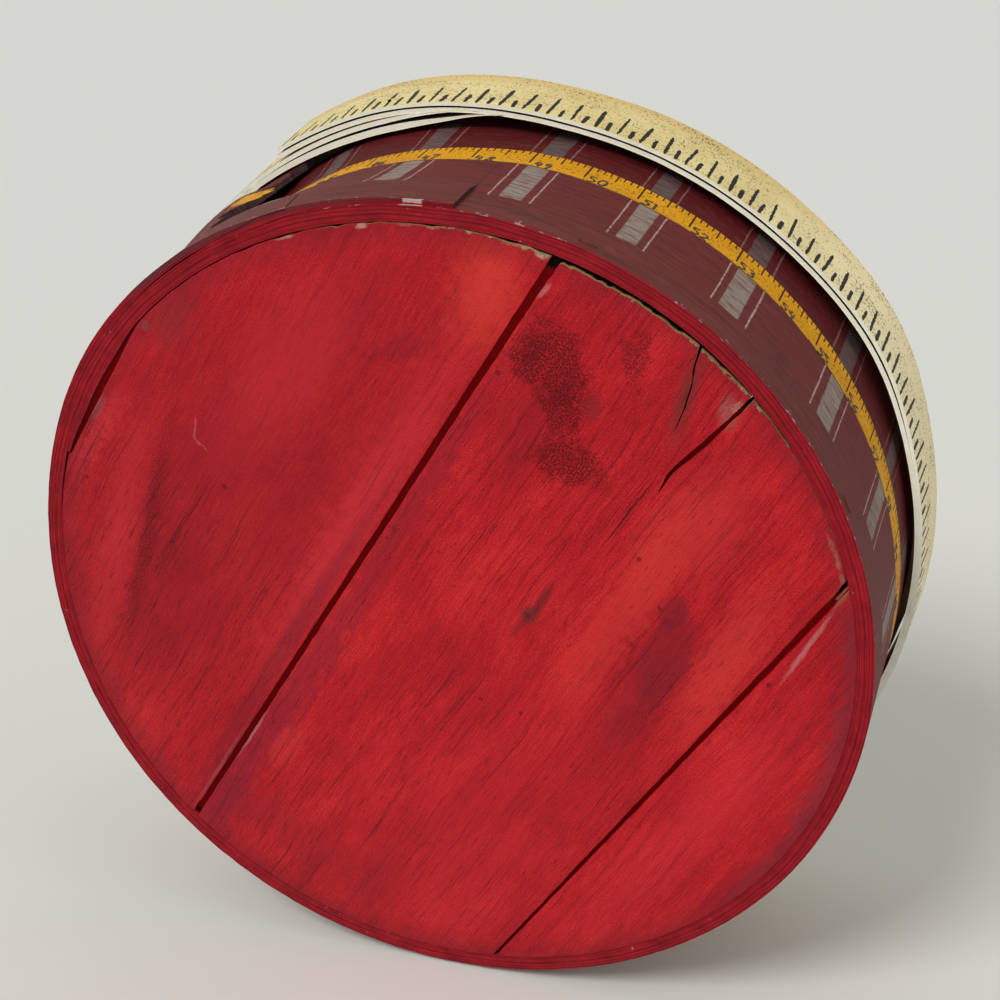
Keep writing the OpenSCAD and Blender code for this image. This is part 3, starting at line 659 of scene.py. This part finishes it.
knock_low = node(tree, "MapRange", {"Value": lap_height, "From Min": 2.4, "From Max": 1.8})
knock = node(tree, "Math", {0: knock, 1: knock_low}, operation="MULTIPLY")
rub = node(tree, "Math", {0: rub, 1: knock}, operation="MAXIMUM")
for cover, tint in ((high_part, "#561518"), (lines, "#3A171B"), (sheen, "#804A46"), (block, grey),
                    (thin, thread), (tape, ochre), (lap_red, "#7E1722"), (rub, "#B49A92")):
    dull = node(tree, "Mix", {"Factor": cover, "A": dull, "B": tint}, data_type="RGBA")
relief = node(tree, "Math", {0: brush, 1: 1.2, 2: grainy}, operation="MULTIPLY_ADD")
relief = node(tree, "Math", {0: tape, 1: 0.5, 2: relief}, operation="MULTIPLY_ADD")
bump = node(tree, "Bump", {"Height": relief, "Strength": 0.6, "Distance": 0.3 * MM})
gloss = node(tree, "MapRange", {"Value": brush, "From Min": 0.3, "From Max": 0.7,
                                "To Min": 0.44, "To Max": 0.62})
set_inputs(tree, tree.nodes["Principled BSDF"],
           {"Base Color": dull, "Roughness": gloss, "Specular IOR Level": 0.05, "Normal": bump})

# Bare veneer inside the hoop, pale brown with fine grain round it, and stained where the red paint ran in
# under the boards.
bare_veneer, tree, mm = start_material("bare_aged_veneer")
grain = node(tree, "Mapping", {"Vector": mm, "Scale": (1 / 45, 1 / 45, 1 / 1.4)})
grain = node(tree, "TexNoise", {"Vector": grain, "Scale": 1.0, "Detail": 5.0, "Roughness": 0.65})
grain = node(tree, "MapRange", {"Value": grain, "From Min": 0.35, "From Max": 0.65})
wood = node(tree, "Mix", {"Factor": grain, "A": "#8B6440", "B": "#C9A474"}, data_type="RGBA")
parts = node(tree, "SeparateXYZ", {"Vector": mm})
sunk = node(tree, "MapRange", {"Value": parts.outputs["Z"], "From Min": 14.0, "From Max": 10.0})
wood = node(tree, "Mix", {"Factor": sunk, "A": wood, "B": "#5A0A12"}, data_type="RGBA")
bump = node(tree, "Bump", {"Height": grain, "Strength": 0.3, "Distance": 0.2 * MM})
set_inputs(tree, tree.nodes["Principled BSDF"], {"Base Color": wood, "Roughness": 0.7, "Normal": bump})

# The plies' lower edges took the red of the bottom; the paint is darker there and cracked along the layers.
# On the lap the side's dull paint runs over the outer layers, and one knock has left a pale chip.
edge_paint, tree, mm = start_material("red_oil_paint_on_ply_edges")
level = node(tree, "VectorMath", {0: mm, 1: (1, 1, 0)}, operation="MULTIPLY")
out_r = node(tree, "VectorMath", {"Vector": level}, operation="LENGTH")
slow = node(tree, "TexNoise", {"Vector": mm, "Scale": 1 / 30, "Detail": 2.0})
layer = node(tree, "Math", {0: slow, 1: 2.5, 2: out_r}, operation="MULTIPLY_ADD")
layer = node(tree, "TexNoise", {"W": layer, "Scale": 1 / 0.7, "Detail": 3.0, "Roughness": 0.8},
             noise_dimensions="1D")
patch = node(tree, "TexNoise", {"Vector": mm, "Scale": 1 / 14, "Detail": 4.0, "Roughness": 0.65})
deep = node(tree, "MapRange", {"Value": patch, "From Min": 0.3, "From Max": 0.7})
red = node(tree, "Mix", {"Factor": deep, "A": "#86131E", "B": "#B01D28"}, data_type="RGBA")
crack = node(tree, "MapRange", {"Value": layer, "From Min": 0.49, "From Max": 0.38, "To Max": 0.75})
chip = node(tree, "TexNoise", {"Vector": mm, "Scale": 1 / 3.5, "Detail": 4.0, "Roughness": 0.7})
chip = node(tree, "MapRange", {"Value": chip, "From Min": 0.69, "From Max": 0.73, "To Max": 0.85})
turn = turn_of(tree, node(tree, "SeparateXYZ", {"Vector": mm}))
near = []
for middle_turn, outside, inside in ((knock_turn, 1.3, 1.1), (-142, 25, 20)):
    off = distance(tree, turn, middle_turn)
    near.append(node(tree, "MapRange", {"Value": off, "From Min": outside, "From Max": inside}))
knock, lap = near
outer_layer = node(tree, "Math", {0: patch, 1: 3.0, 2: out_r}, operation="MULTIPLY_ADD")
run_over = node(tree, "MapRange", {"Value": outer_layer, "From Min": 199, "From Max": 199.8, "To Max": 0.85})
run_over = node(tree, "Math", {0: run_over, 1: lap}, operation="MULTIPLY")
outer_layer = node(tree, "MapRange", {"Value": outer_layer, "From Min": 198.2, "From Max": 198.6})
knock = node(tree, "Math", {0: knock, 1: outer_layer}, operation="MULTIPLY")
chip = node(tree, "Math", {0: chip, 1: knock}, operation="MAXIMUM")
for cover, tint in ((crack, "#360A10"), (run_over, "#5E2C30"), (chip, "#BCA298")):
    red = node(tree, "Mix", {"Factor": cover, "A": red, "B": tint}, data_type="RGBA")
bump = node(tree, "Bump", {"Height": layer, "Strength": 0.6, "Distance": 0.5 * MM})
set_inputs(tree, tree.nodes["Principled BSDF"],
           {"Base Color": red, "Roughness": 0.5, "Specular IOR Level": 0.08, "Normal": bump})

# Torn ends of veneer: brown splintered fibre, nearly black in its cracks, all of it kept darker than the wood
# as painted shade.
torn_wood_and_painted_shade, tree, mm = start_material("torn_brown_veneer_darkened_as_shade")
fibre = node(tree, "Mapping", {"Vector": mm, "Scale": (1 / 3, 1 / 3, 1 / 0.6)})
fibre = node(tree, "TexNoise", {"Vector": fibre, "Scale": 1.0, "Detail": 4.0, "Roughness": 0.7})
fibre = node(tree, "MapRange", {"Value": fibre, "From Min": 0.35, "From Max": 0.65})
wood = node(tree, "Mix", {"Factor": fibre, "A": "#170809", "B": "#47201F"}, data_type="RGBA")
bump = node(tree, "Bump", {"Height": fibre, "Strength": 0.6, "Distance": 0.5 * MM})
set_inputs(tree, tree.nodes["Principled BSDF"], {"Base Color": wood, "Roughness": 0.8, "Normal": bump})

hoop_arris = 0.35
hoop_finish = [hoop_paint, bare_veneer, edge_paint, torn_wood_and_painted_shade]
inner = bent_ply(columns=560, rows=28, bend=bend_inner, edge=hoop_arris)
add_piece("hoop_inner_ply", inner, hoop_finish, "box", ["body_inner_ply"])
outer = bent_ply(columns=480, rows=82, bend=bend_outer, edge=hoop_arris)
add_piece("hoop_outer_ply", outer, hoop_finish, "box", ["body_outer_ply"])

# Paint bridges the seam between the boards and the hoop where they lie close
seam_first, seam_turn = -66, 234
seam_h, seam_z = 1.6, 1.3
bm = bmesh.new()
bmesh.ops.create_grid(bm, x_segments=1, y_segments=1, size=0.5)
bmesh.ops.rotate(bm, matrix=Matrix.Rotation(math.radians(90), 3, "X"), verts=bm.verts)
bmesh.ops.scale(bm, vec=(1.0, 1.0, seam_h), verts=bm.verts)
bmesh.ops.translate(bm, vec=(disc_r, 0, seam_z), verts=bm.verts)
bmesh.ops.rotate(bm, matrix=Matrix.Rotation(math.radians(seam_first), 3, "Z"), verts=bm.verts)
bmesh.ops.spin(bm, geom=bm.verts[:] + bm.edges[:] + bm.faces[:], axis=(0, 0, 1),
               angle=math.radians(seam_turn), steps=seam_turn)
bmesh.ops.recalc_face_normals(bm, faces=bm.faces)
add_piece("red_paint_in_seam", bm, [edge_paint], "box")


# Numbers on the tape.
# Written by hand in dark ink beside each inch mark, near the tape's lower edge.
# Each is drawn flat as brush strokes and then bent onto the hoop, a hair proud of the paint.
digit_h = 6.6
digit_w = 3.4
digit_gap = 0.9
stroke = 0.58
number_r = 196.5
past_mark = 0.55
over_edge = 1.3
ink_proud, ink_flatness = 0.1, 0.25
count_from = -156
digit_strokes = {
    "0": [[(0.5, 1), (0.1, 0.9), (0, 0.5), (0.15, 0.05), (0.5, 0), (0.9, 0.1), (1, 0.5), (0.85, 0.95),
           (0.45, 1)]],
    "1": [[(0.25, 0.8), (0.5, 1), (0.52, 0.5), (0.5, 0)]],
    "2": [[(0, 0.75), (0.2, 1), (0.7, 1), (0.9, 0.7), (0.5, 0.35), (0, 0), (0.5, 0.06), (1, 0)]],
    "3": [[(0.05, 0.95), (0.6, 1), (0.9, 0.8), (0.4, 0.55)],
          [(0.4, 0.55), (1, 0.4), (0.8, 0.02), (0.1, 0.05)]],
    "4": [[(0.3, 1), (0.1, 0.6), (0.05, 0.4), (0.95, 0.42)], [(0.75, 0.8), (0.7, 0.4), (0.68, 0)]],
    "5": [[(0.2, 1), (0.12, 0.6), (0.6, 0.65), (1, 0.35), (0.6, 0), (0, 0.05)],
          [(0.2, 1), (0.6, 0.97), (0.95, 1)]],
    "6": [[(0.75, 1), (0.2, 0.7), (0, 0.25), (0.4, 0), (0.95, 0.15), (0.8, 0.5), (0.15, 0.4)]],
    "7": [[(0, 0.95), (0.5, 0.98), (1, 1), (0.6, 0.5), (0.35, 0)]],
    "8": [[(0.5, 0.55), (0.05, 0.8), (0.5, 1), (0.9, 0.8), (0.45, 0.53), (0, 0.2), (0.5, 0), (1, 0.2),
           (0.5, 0.55)]],
    "9": [[(0.85, 0.75), (0.5, 1), (0.1, 0.75), (0.45, 0.5), (0.85, 0.75), (0.8, 0.35), (0.55, 0)]],
}


def hoop_surface(angle, z):
    """Radius of the painted face of the hoop."""
    if rise_first <= angle + 720 <= inner_last:
        return inner_ply_back(angle + 720, z) + sway(angle, z)
    return outer_ply_face(angle, z) + hoop_ply + (sway(angle, z) if angle < 165 else 0.0)


# Thin ink over ochre: nearly black where it pooled, brown where the brush ran dry.
ink, tree, mm = start_material("dark_brown_ink")
pool = node(tree, "TexNoise", {"Vector": mm, "Scale": 1 / 1.8, "Detail": 3.0})
pool = node(tree, "MapRange", {"Value": pool, "From Min": 0.35, "From Max": 0.7})
brown = node(tree, "Mix", {"Factor": pool, "A": "#1A0F0A", "B": "#3A2510"}, data_type="RGBA")
set_inputs(tree, tree.nodes["Principled BSDF"], {"Base Color": brown, "Roughness": 0.55})

hand = random.Random(11)
strokes = bpy.data.curves.new("tape_numbers", "CURVE")
strokes.dimensions = "3D"
strokes.bevel_depth = stroke
strokes.bevel_resolution = 1
strokes.resolution_u = 3
mm_per_degree = math.radians(1) * number_r
number_at_start, tape_inches = 52, 60
for k in range(-8, 38):
    value = number_at_start + k
    angle = tape_start + k * inch
    text = str(value if value <= tape_inches else value - tape_inches)
    for place_in_text, digit in enumerate(text):
        start = (angle + past_mark) * mm_per_degree + place_in_text * (digit_w + digit_gap)
        start += hand.uniform(-0.3, 0.3)
        drop = sum(down * ease(angle, begin, end) for begin, end, down in lap_drift)
        lift = tape_low + over_edge + hand.uniform(-0.3, 0.4) - drop
        tall = digit_h * hand.uniform(0.88, 1.05)
        slope = hand.uniform(-0.05, 0.22)
        for path in digit_strokes[digit]:
            spline = strokes.splines.new("NURBS")
            spline.points.add(len(path) - 1)
            for point, (x, y) in zip(spline.points, path):
                point.co = (start + digit_w * x + slope * tall * y, lift + tall * y, 0, 1)
                point.radius = hand.uniform(0.75, 1.15)
            spline.order_u = 3
            spline.use_endpoint_u = True
drawn = show("tape_numbers_flat", strokes)
bpy.context.view_layer.update()
flat_numbers = bpy.data.meshes.new_from_object(drawn.evaluated_get(bpy.context.evaluated_depsgraph_get()))
bpy.data.objects.remove(drawn)
bm = bmesh.new()
bm.from_mesh(flat_numbers)
for v in bm.verts:
    angle = v.co.x / mm_per_degree
    counted = (angle - count_from) % 360 + count_from
    r = hoop_surface(counted, v.co.y) + ink_proud + ink_flatness * v.co.z
    v.co = on_round(r, angle, v.co.y)
add_piece("tape_numbers", bm, [ink], "box")


# Lid boards.
# Three pine boards sawn to one round, which rest on the top of the hoop inside the rim stapled to them.
# Brushed cream on top, bare underneath.
lid_axis = Vector((-1.604, -0.817, 0))
lid_disc_r = 200.2
lid_seat_z = 136.7
lid_board_t = 12.0
lid_joint = 66.0
lid_gap = 0.5
lid_arris = 0.6
lid_flare = 1.4

# Cream oil paint over pine: brush lines along the boards, yellower where it is thick, with specks of soot.
cream_paint, tree, mm = start_material("cream_oil_paint_on_pine")
streak = node(tree, "Mapping", {"Vector": mm, "Scale": (1 / 1.8, 1 / 80, 0.3)})
streak = node(tree, "TexNoise", {"Vector": streak, "Scale": 1.0, "Detail": 5.0, "Roughness": 0.65})
cloud = node(tree, "TexNoise", {"Vector": mm, "Scale": 1 / 55, "Detail": 4.0})
tone = node(tree, "Math", {0: streak, 1: cloud}, operation="ADD")
tone = node(tree, "MapRange", {"Value": tone, "From Min": 0.75, "From Max": 1.25})
cream = node(tree, "Mix", {"Factor": tone, "A": "#D2B56C", "B": "#E9DA9E"}, data_type="RGBA")
speck = node(tree, "TexNoise", {"Vector": mm, "Scale": 1 / 1.2, "Detail": 2.0})
speck = node(tree, "Math", {0: cloud, 1: 0.25, 2: speck}, operation="MULTIPLY_ADD")
speck = node(tree, "MapRange", {"Value": speck, "From Min": 0.79, "From Max": 0.85, "To Max": 0.7})
cream = node(tree, "Mix", {"Factor": speck, "A": cream, "B": "#6B5A34"}, data_type="RGBA")
bump = node(tree, "Bump", {"Height": streak, "Strength": 0.4, "Distance": 0.3 * MM})
set_inputs(tree, tree.nodes["Principled BSDF"],
           {"Base Color": cream, "Roughness": 0.5, "Specular IOR Level": 0.15, "Normal": bump})

lid_finish = [cream_paint, bare_veneer]
low_joint, high_joint = lid_axis.x - lid_joint, lid_axis.x + lid_joint
for name, cuts, seed in (
        ("left", [((low_joint - lid_gap / 2, 0), (1, 0))], 4.0),
        ("middle", [((low_joint + lid_gap / 2, 0), (-1, 0)), ((high_joint - lid_gap / 2, 0), (1, 0))], 5.0),
        ("right", [((high_joint + lid_gap / 2, 0), (-1, 0))], 6.0)):
    top = round_board(lid_disc_r + lid_flare, lid_axis[:2], cuts, lid_seat_z, lid_board_t, seed=seed,
                      edge=lid_arris, worn_face=1)
    add_piece("cream_board_" + name, top, lid_finish, "lid", ["lid_board_" + name])


# Rim of the lid.
# A thick ply and a thinner one outside it, bent together into a ring a full lap longer than its round.
# Painted cream with charcoal ticks like a tape's; glued only in places, so the layers' edges stand apart.
rim_z = 107.7
rim_top = 148.7
rim_r = 200.5
rim_rise = 5.3
rim_over = -501.0
rim_climb = 34.0
rim_flare = 2.2


def rim_round(angle):
    """How far the rim stands out where it climbs over its own beginning, and where it bulges before that."""
    bulge = 2.6 * math.exp(-((angle + 423) / 13) ** 2)
    return rim_rise * ease(angle, rim_over + rim_climb, rim_over) + bulge


def rim_bow(angle):
    """How far the rim's beginning bows in under the lap, from 0 to 1."""
    return ease(angle, -168, -138) * (1 - ease(angle, -131, -122)) if angle > -180 else 0.0


def bend_rim(first, last, face, thick, fan, bow, swell, opened, seed):
    """The bend of a rim ply, from its angles, face and thickness and from how its loose ends stand apart."""
    def bend(along, up, through):
        angle = first + (last - first) * along
        z = rim_z + (rim_top - rim_z) * up
        free = ease(angle, rim_over - 16, rim_over - 32)
        r = face + rim_round(angle) + fan * free - bow * rim_bow(angle)
        taper = min(1.0, 0.12 + (last - angle) / 16) if angle > -180 else 1.0
        wide = thick + swell * rim_bow(angle)
        r += wide * (1 - taper + taper * through) + rim_flare * up + opened * ease(angle, -400, -424)
        a = math.radians(angle)
        r += 0.15 * ripple(2 * math.cos(a), 2 * math.sin(a), 3.0, 2)
        if up == 0:
            z += 0.3 + 0.3 * ripple(angle / 2.2, 0.5, seed)
        return lid_axis + on_round(r, angle, z)
    return bend


# Cream oil paint brushed round the rim, golden towards the rounded top and paler on one side as painted
# light, scuffed with fine black specks, and marked with short and long charcoal ticks put on with a loaded
# brush.
rim_paint, tree, mm = start_material("cream_oil_paint_with_ticks")
mm = node(tree, "VectorMath", {0: mm, 1: lid_axis}, operation="SUBTRACT")
parts = node(tree, "SeparateXYZ", {"Vector": mm})
turn = turn_of(tree, parts)
height = node(tree, "Math", {0: parts.outputs["Z"], 1: rim_z}, operation="SUBTRACT")
brush = node(tree, "Mapping", {"Vector": mm, "Scale": (1 / 30, 1 / 30, 1 / 1.1)})
brush = node(tree, "TexNoise", {"Vector": brush, "Scale": 1.0, "Detail": 4.0, "Roughness": 0.65})
cloud = node(tree, "TexNoise", {"Vector": mm, "Scale": 1 / 26, "Detail": 4.0})
tone = node(tree, "Math", {0: brush, 1: cloud}, operation="ADD")
tone = node(tree, "MapRange", {"Value": tone, "From Min": 0.75, "From Max": 1.25})
cream = node(tree, "Mix", {"Factor": tone, "A": "#D2BC7A", "B": "#E3D49A"}, data_type="RGBA")
golden = node(tree, "Math", {0: cloud, 1: 12.0, 2: height}, operation="MULTIPLY_ADD")
golden = node(tree, "MapRange", {"Value": golden, "From Min": 34.0, "From Max": 46.0, "To Max": 0.75})
# Paler paint over the side that the lamps leave darker, as painted light
painted_light_side = node(tree, "MapRange", {"Value": turn, "From Min": -92.0, "From Max": -62.0, "To Max": 0.75},
             interpolation_type="SMOOTHSTEP")
speck = node(tree, "Mapping", {"Vector": mm, "Scale": (1 / 1.1, 1 / 1.1, 1 / 1.3)})
speck = node(tree, "TexNoise", {"Vector": speck, "Scale": 1.0, "Detail": 3.0, "Roughness": 0.65})
scuffed = node(tree, "Mapping", {"Vector": mm, "Scale": (1 / 22, 1 / 22, 1 / 7)})
scuffed = node(tree, "TexNoise", {"Vector": scuffed, "Scale": 1.0, "Detail": 2.0})
speck = node(tree, "Math", {0: scuffed, 1: 0.3, 2: speck}, operation="MULTIPLY_ADD")
speck = node(tree, "MapRange", {"Value": speck, "From Min": 0.72, "From Max": 0.79, "To Max": 0.8})
# Each tick is a rounded blob of its own length, width and lean in one of 232 places round the rim
ticks = 232
cell = node(tree, "Math", {0: turn, 1: 0.5}, operation="SUBTRACT")
cell = node(tree, "Math", {0: cell, 1: ticks / 360}, operation="MULTIPLY")
number = node(tree, "Math", {0: cell}, operation="FLOOR")
across = node(tree, "Math", {0: cell, 1: number}, operation="SUBTRACT")
chance = node(tree, "TexWhiteNoise", {"W": number}, noise_dimensions="1D")
lots = node(tree, "SeparateXYZ", {"Vector": chance.outputs["Color"]})
long_tick = node(tree, "Math", {0: number, 1: 2.0}, operation="FLOORED_MODULO")
half_tall = node(tree, "Math", {0: long_tick, 1: 5.2, 2: 4.6}, operation="MULTIPLY_ADD")
half_tall = node(tree, "Math", {0: lots.outputs["X"], 1: 1.3, 2: half_tall}, operation="MULTIPLY_ADD")
half_wide = node(tree, "Math", {0: long_tick, 1: -0.03, 2: 0.15}, operation="MULTIPLY_ADD")
half_wide = node(tree, "Math", {0: lots.outputs["Y"], 1: 0.07, 2: half_wide}, operation="MULTIPLY_ADD")
blot = unsteady(tree, mm, 2.6, 2.0)
tilt = node(tree, "Math", {0: lots.outputs["Z"], 1: 0.5}, operation="SUBTRACT")
tilt = node(tree, "Math", {0: tilt, 1: 0.02}, operation="MULTIPLY")
rise = node(tree, "Math", {0: height, 1: half_tall}, operation="SUBTRACT")
rise = node(tree, "Math", {0: rise, 1: 1.1}, operation="SUBTRACT")
side = node(tree, "Math", {0: across, 1: 0.5}, operation="SUBTRACT")
side = node(tree, "Math", {0: rise, 1: tilt, 2: side}, operation="MULTIPLY_ADD")
side = node(tree, "Math", {0: blot, 1: 0.24, 2: side}, operation="MULTIPLY_ADD")
side = node(tree, "Math", {0: side, 1: half_wide}, operation="DIVIDE")
rise = node(tree, "Math", {0: rise, 1: half_tall}, operation="DIVIDE")
side = node(tree, "Math", {0: side, 1: 2.0}, operation="POWER")
rise = node(tree, "Math", {0: rise}, operation="ABSOLUTE")
rise = node(tree, "Math", {0: rise, 1: 6.0}, operation="POWER")
shape = node(tree, "Math", {0: side, 1: rise}, operation="ADD")
tick = node(tree, "MapRange", {"Value": shape, "From Min": 1.15, "From Max": 0.85})
for cover, tint in ((golden, "#D0AE68"), (painted_light_side, "#F8EABC"), (speck, "#5C4E2C"), (tick, "#15140E")):
    cream = node(tree, "Mix", {"Factor": cover, "A": cream, "B": tint}, data_type="RGBA")
relief = node(tree, "Math", {0: tick, 1: 0.4, 2: brush}, operation="MULTIPLY_ADD")
bump = node(tree, "Bump", {"Height": relief, "Strength": 0.4, "Distance": 0.3 * MM})
set_inputs(tree, tree.nodes["Principled BSDF"],
           {"Base Color": cream, "Roughness": 0.5, "Specular IOR Level": 0.15, "Normal": bump})

# The rim's lower edges and ends are whiter, where thick primer stayed in small lumps, and brighter still as
# painted light.
edge_cream_and_painted_light, tree, mm = start_material("white_cream_paint_on_ply_edges")
patch = node(tree, "TexNoise", {"Vector": mm, "Scale": 1 / 6, "Detail": 4.0, "Roughness": 0.65})
patch = node(tree, "MapRange", {"Value": patch, "From Min": 0.35, "From Max": 0.65})
cream = node(tree, "Mix", {"Factor": patch, "A": "#FBF6DA", "B": "#FDFFEE"}, data_type="RGBA")
lumps = node(tree, "TexNoise", {"Vector": mm, "Scale": 1 / 1.4, "Detail": 3.0})
bump = node(tree, "Bump", {"Height": lumps, "Strength": 0.5, "Distance": 0.4 * MM})
set_inputs(tree, tree.nodes["Principled BSDF"],
           {"Base Color": cream, "Roughness": 0.6, "Specular IOR Level": 0.12, "Normal": bump})

rim_columns, rim_rows, rim_arris = 520, 10, 0.3
inner_bend = bend_rim(first=-513.4, last=-120.9, face=rim_r + 0.55, thick=2.1, fan=0.5, bow=2.25, swell=0.85,
                      opened=-0.35, seed=1.0)
inner = bent_ply(rim_columns, rim_rows, inner_bend, rim_arris)
# The inner ply's outer face shows only in the gaps between the rim's layers, so it takes the dark torn-wood
# colour as painted shade.
inner_finish = [torn_wood_and_painted_shade, bare_veneer, edge_cream_and_painted_light, edge_cream_and_painted_light]
add_piece("rim_inner_ply", inner, inner_finish, "lid", ["lid_inner_ply"])
outer_bend = bend_rim(first=-512.9, last=-123.4, face=rim_r + 2.4, thick=1.6, fan=1.6, bow=-0.1, swell=0.55,
                      opened=0.8, seed=2.0)
outer = bent_ply(rim_columns, rim_rows, outer_bend, rim_arris)
outer_finish = [rim_paint, torn_wood_and_painted_shade, edge_cream_and_painted_light, edge_cream_and_painted_light]
add_piece("rim_outer_ply", outer, outer_finish, "lid", ["lid_outer_ply"])


# Staples.
# Flattened steel wire, driven through the plies into the boards and through the laps.
# Their crowns were painted over with the rest, and those of the hoop's lap lie flush in its thin end.
lap_angle = 593.5
crown_size = (0.8, 8, 1.2)
crown_sunk = 0.33
crown_arris = 0.15
bm = bmesh.new()
for part in (0.25, 0.5, 0.75):
    crown = bmesh.ops.create_cube(bm, size=1.0)["verts"]
    z = part * hoop_h
    face = inner_ply_back(lap_angle, z) + sway(lap_angle, z)
    bmesh.ops.scale(bm, vec=crown_size, verts=crown)
    bmesh.ops.translate(bm, vec=(face - crown_sunk, 0, z), verts=crown)
bmesh.ops.rotate(bm, matrix=Matrix.Rotation(math.radians(lap_angle), 3, "Z"), verts=bm.verts)
bmesh.ops.bevel(bm, geom=bm.edges[:], offset=crown_arris, segments=2, profile=0.5, affect="EDGES",
                material=-1)
add_piece("lap_staple_crowns", bm, [hoop_paint], "box", ["body_lap_staples"])
for staple, paint in (("bottom_staples", hoop_paint), ("lid_rim_staples", rim_paint),
                      ("lid_lap_staples", rim_paint)):
    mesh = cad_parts[staple].data
    mesh.materials.clear()
    mesh.materials.append(paint)


# Floor, camera and light.
# The box rests on its side on a pale floor, turned so that its bottom faces the camera.
# The floor shows from its own side only, so that it hides nothing from behind, and it keeps the shadow.
cam_right = Vector((0.8232, -0.4798, 0.3033))
cam_down = Vector((0.5677, 0.6959, -0.4399))
cam_forward = Vector((0.0, 0.5343, 0.8453))
pitch = math.radians(22.5)
up = (-math.cos(pitch) * cam_down - math.sin(pitch) * cam_forward).normalized()
floor_from_axis = 196.6
floor_sunk = 1.5
floor_half = 6.0
rest = Vector((-up.x, -up.y, 0)).normalized() * floor_from_axis * MM
turned = up.to_track_quat("Z", "Y").to_matrix().to_4x4()
bm = bmesh.new()
bmesh.ops.create_grid(bm, x_segments=2, y_segments=2, size=floor_half,
                      matrix=Matrix.Translation(rest - floor_sunk * MM * up) @ turned)
mesh = bpy.data.meshes.new("floor")
bm.to_mesh(mesh)
bm.free()
floor = show("floor", mesh)


def seen_rays(tree):
    """1 for the rays that the camera sees, straight or in a gloss, and 0 for those that carry light."""
    path = node(tree, "LightPath")
    seen = 0.0
    for kind in ("Is Camera Ray", "Is Glossy Ray", "Is Transmission Ray"):
        seen = node(tree, "Math", {0: seen, 1: path.outputs[kind]}, operation="MAXIMUM")
    return seen


# Matt backdrop paper, pale and even.
floor_paper = bpy.data.materials.new("pale_backdrop_paper")
floor_paper.use_nodes = True
tree = floor_paper.node_tree
shader = tree.nodes["Principled BSDF"]
set_inputs(tree, shader, {"Base Color": "#D6D6D0", "Roughness": 0.9, "Specular IOR Level": 0.1})
facing = node(tree, "NewGeometry")
front = node(tree, "Math", {0: 1.0, 1: facing.outputs["Backfacing"]}, operation="SUBTRACT")
seen = node(tree, "Math", {0: seen_rays(tree), 1: front}, operation="MULTIPLY")
clear = node(tree, "BsdfTransparent")
both = node(tree, "MixShader", {0: seen, 1: clear, 2: shader})
set_inputs(tree, tree.nodes["Material Output"], {"Surface": both})
mesh.materials.append(floor_paper)

focal_px, picture_px = 1900, 1000
eye = Vector((-8.1, -512.2, -694.2))
camera = bpy.data.cameras.new("camera")
camera.sensor_width = 36.0
camera.lens = camera.sensor_width * focal_px / picture_px
view = show("camera", camera)
axes = Matrix((cam_right, -cam_down, -cam_forward)).transposed().to_4x4()
view.matrix_world = Matrix.Translation(eye * MM) @ axes
bpy.context.scene.camera = view

for name, right_by, up_by, back_by, strength, spread in (
        ("key", -0.75, 0.75, 1.25, 1.84, 22.0), ("fill", 0.9, 0.2, 0.9, 0.3, 60.0)):
    lamp = bpy.data.lights.new(name, "SUN")
    lamp.energy = strength
    lamp.angle = math.radians(spread)
    light = show(name, lamp)
    source = right_by * cam_right - up_by * cam_down - back_by * cam_forward
    light.matrix_world = source.to_track_quat("Z", "Y").to_matrix().to_4x4()

world = bpy.data.worlds.new("studio")
world.use_nodes = True
bpy.context.scene.world = world
tree = world.node_tree
soft = node(tree, "Background", {"Color": (1.0, 1.0, 1.0, 1.0), "Strength": 0.55})
shown = node(tree, "Background", {"Color": "#DADAD5", "Strength": 1.0})
both = node(tree, "MixShader", {0: seen_rays(tree), 1: soft, 2: shown})
set_inputs(tree, tree.nodes["World Output"], {"Surface": both})
bpy.context.scene.view_settings.view_transform = "Standard"
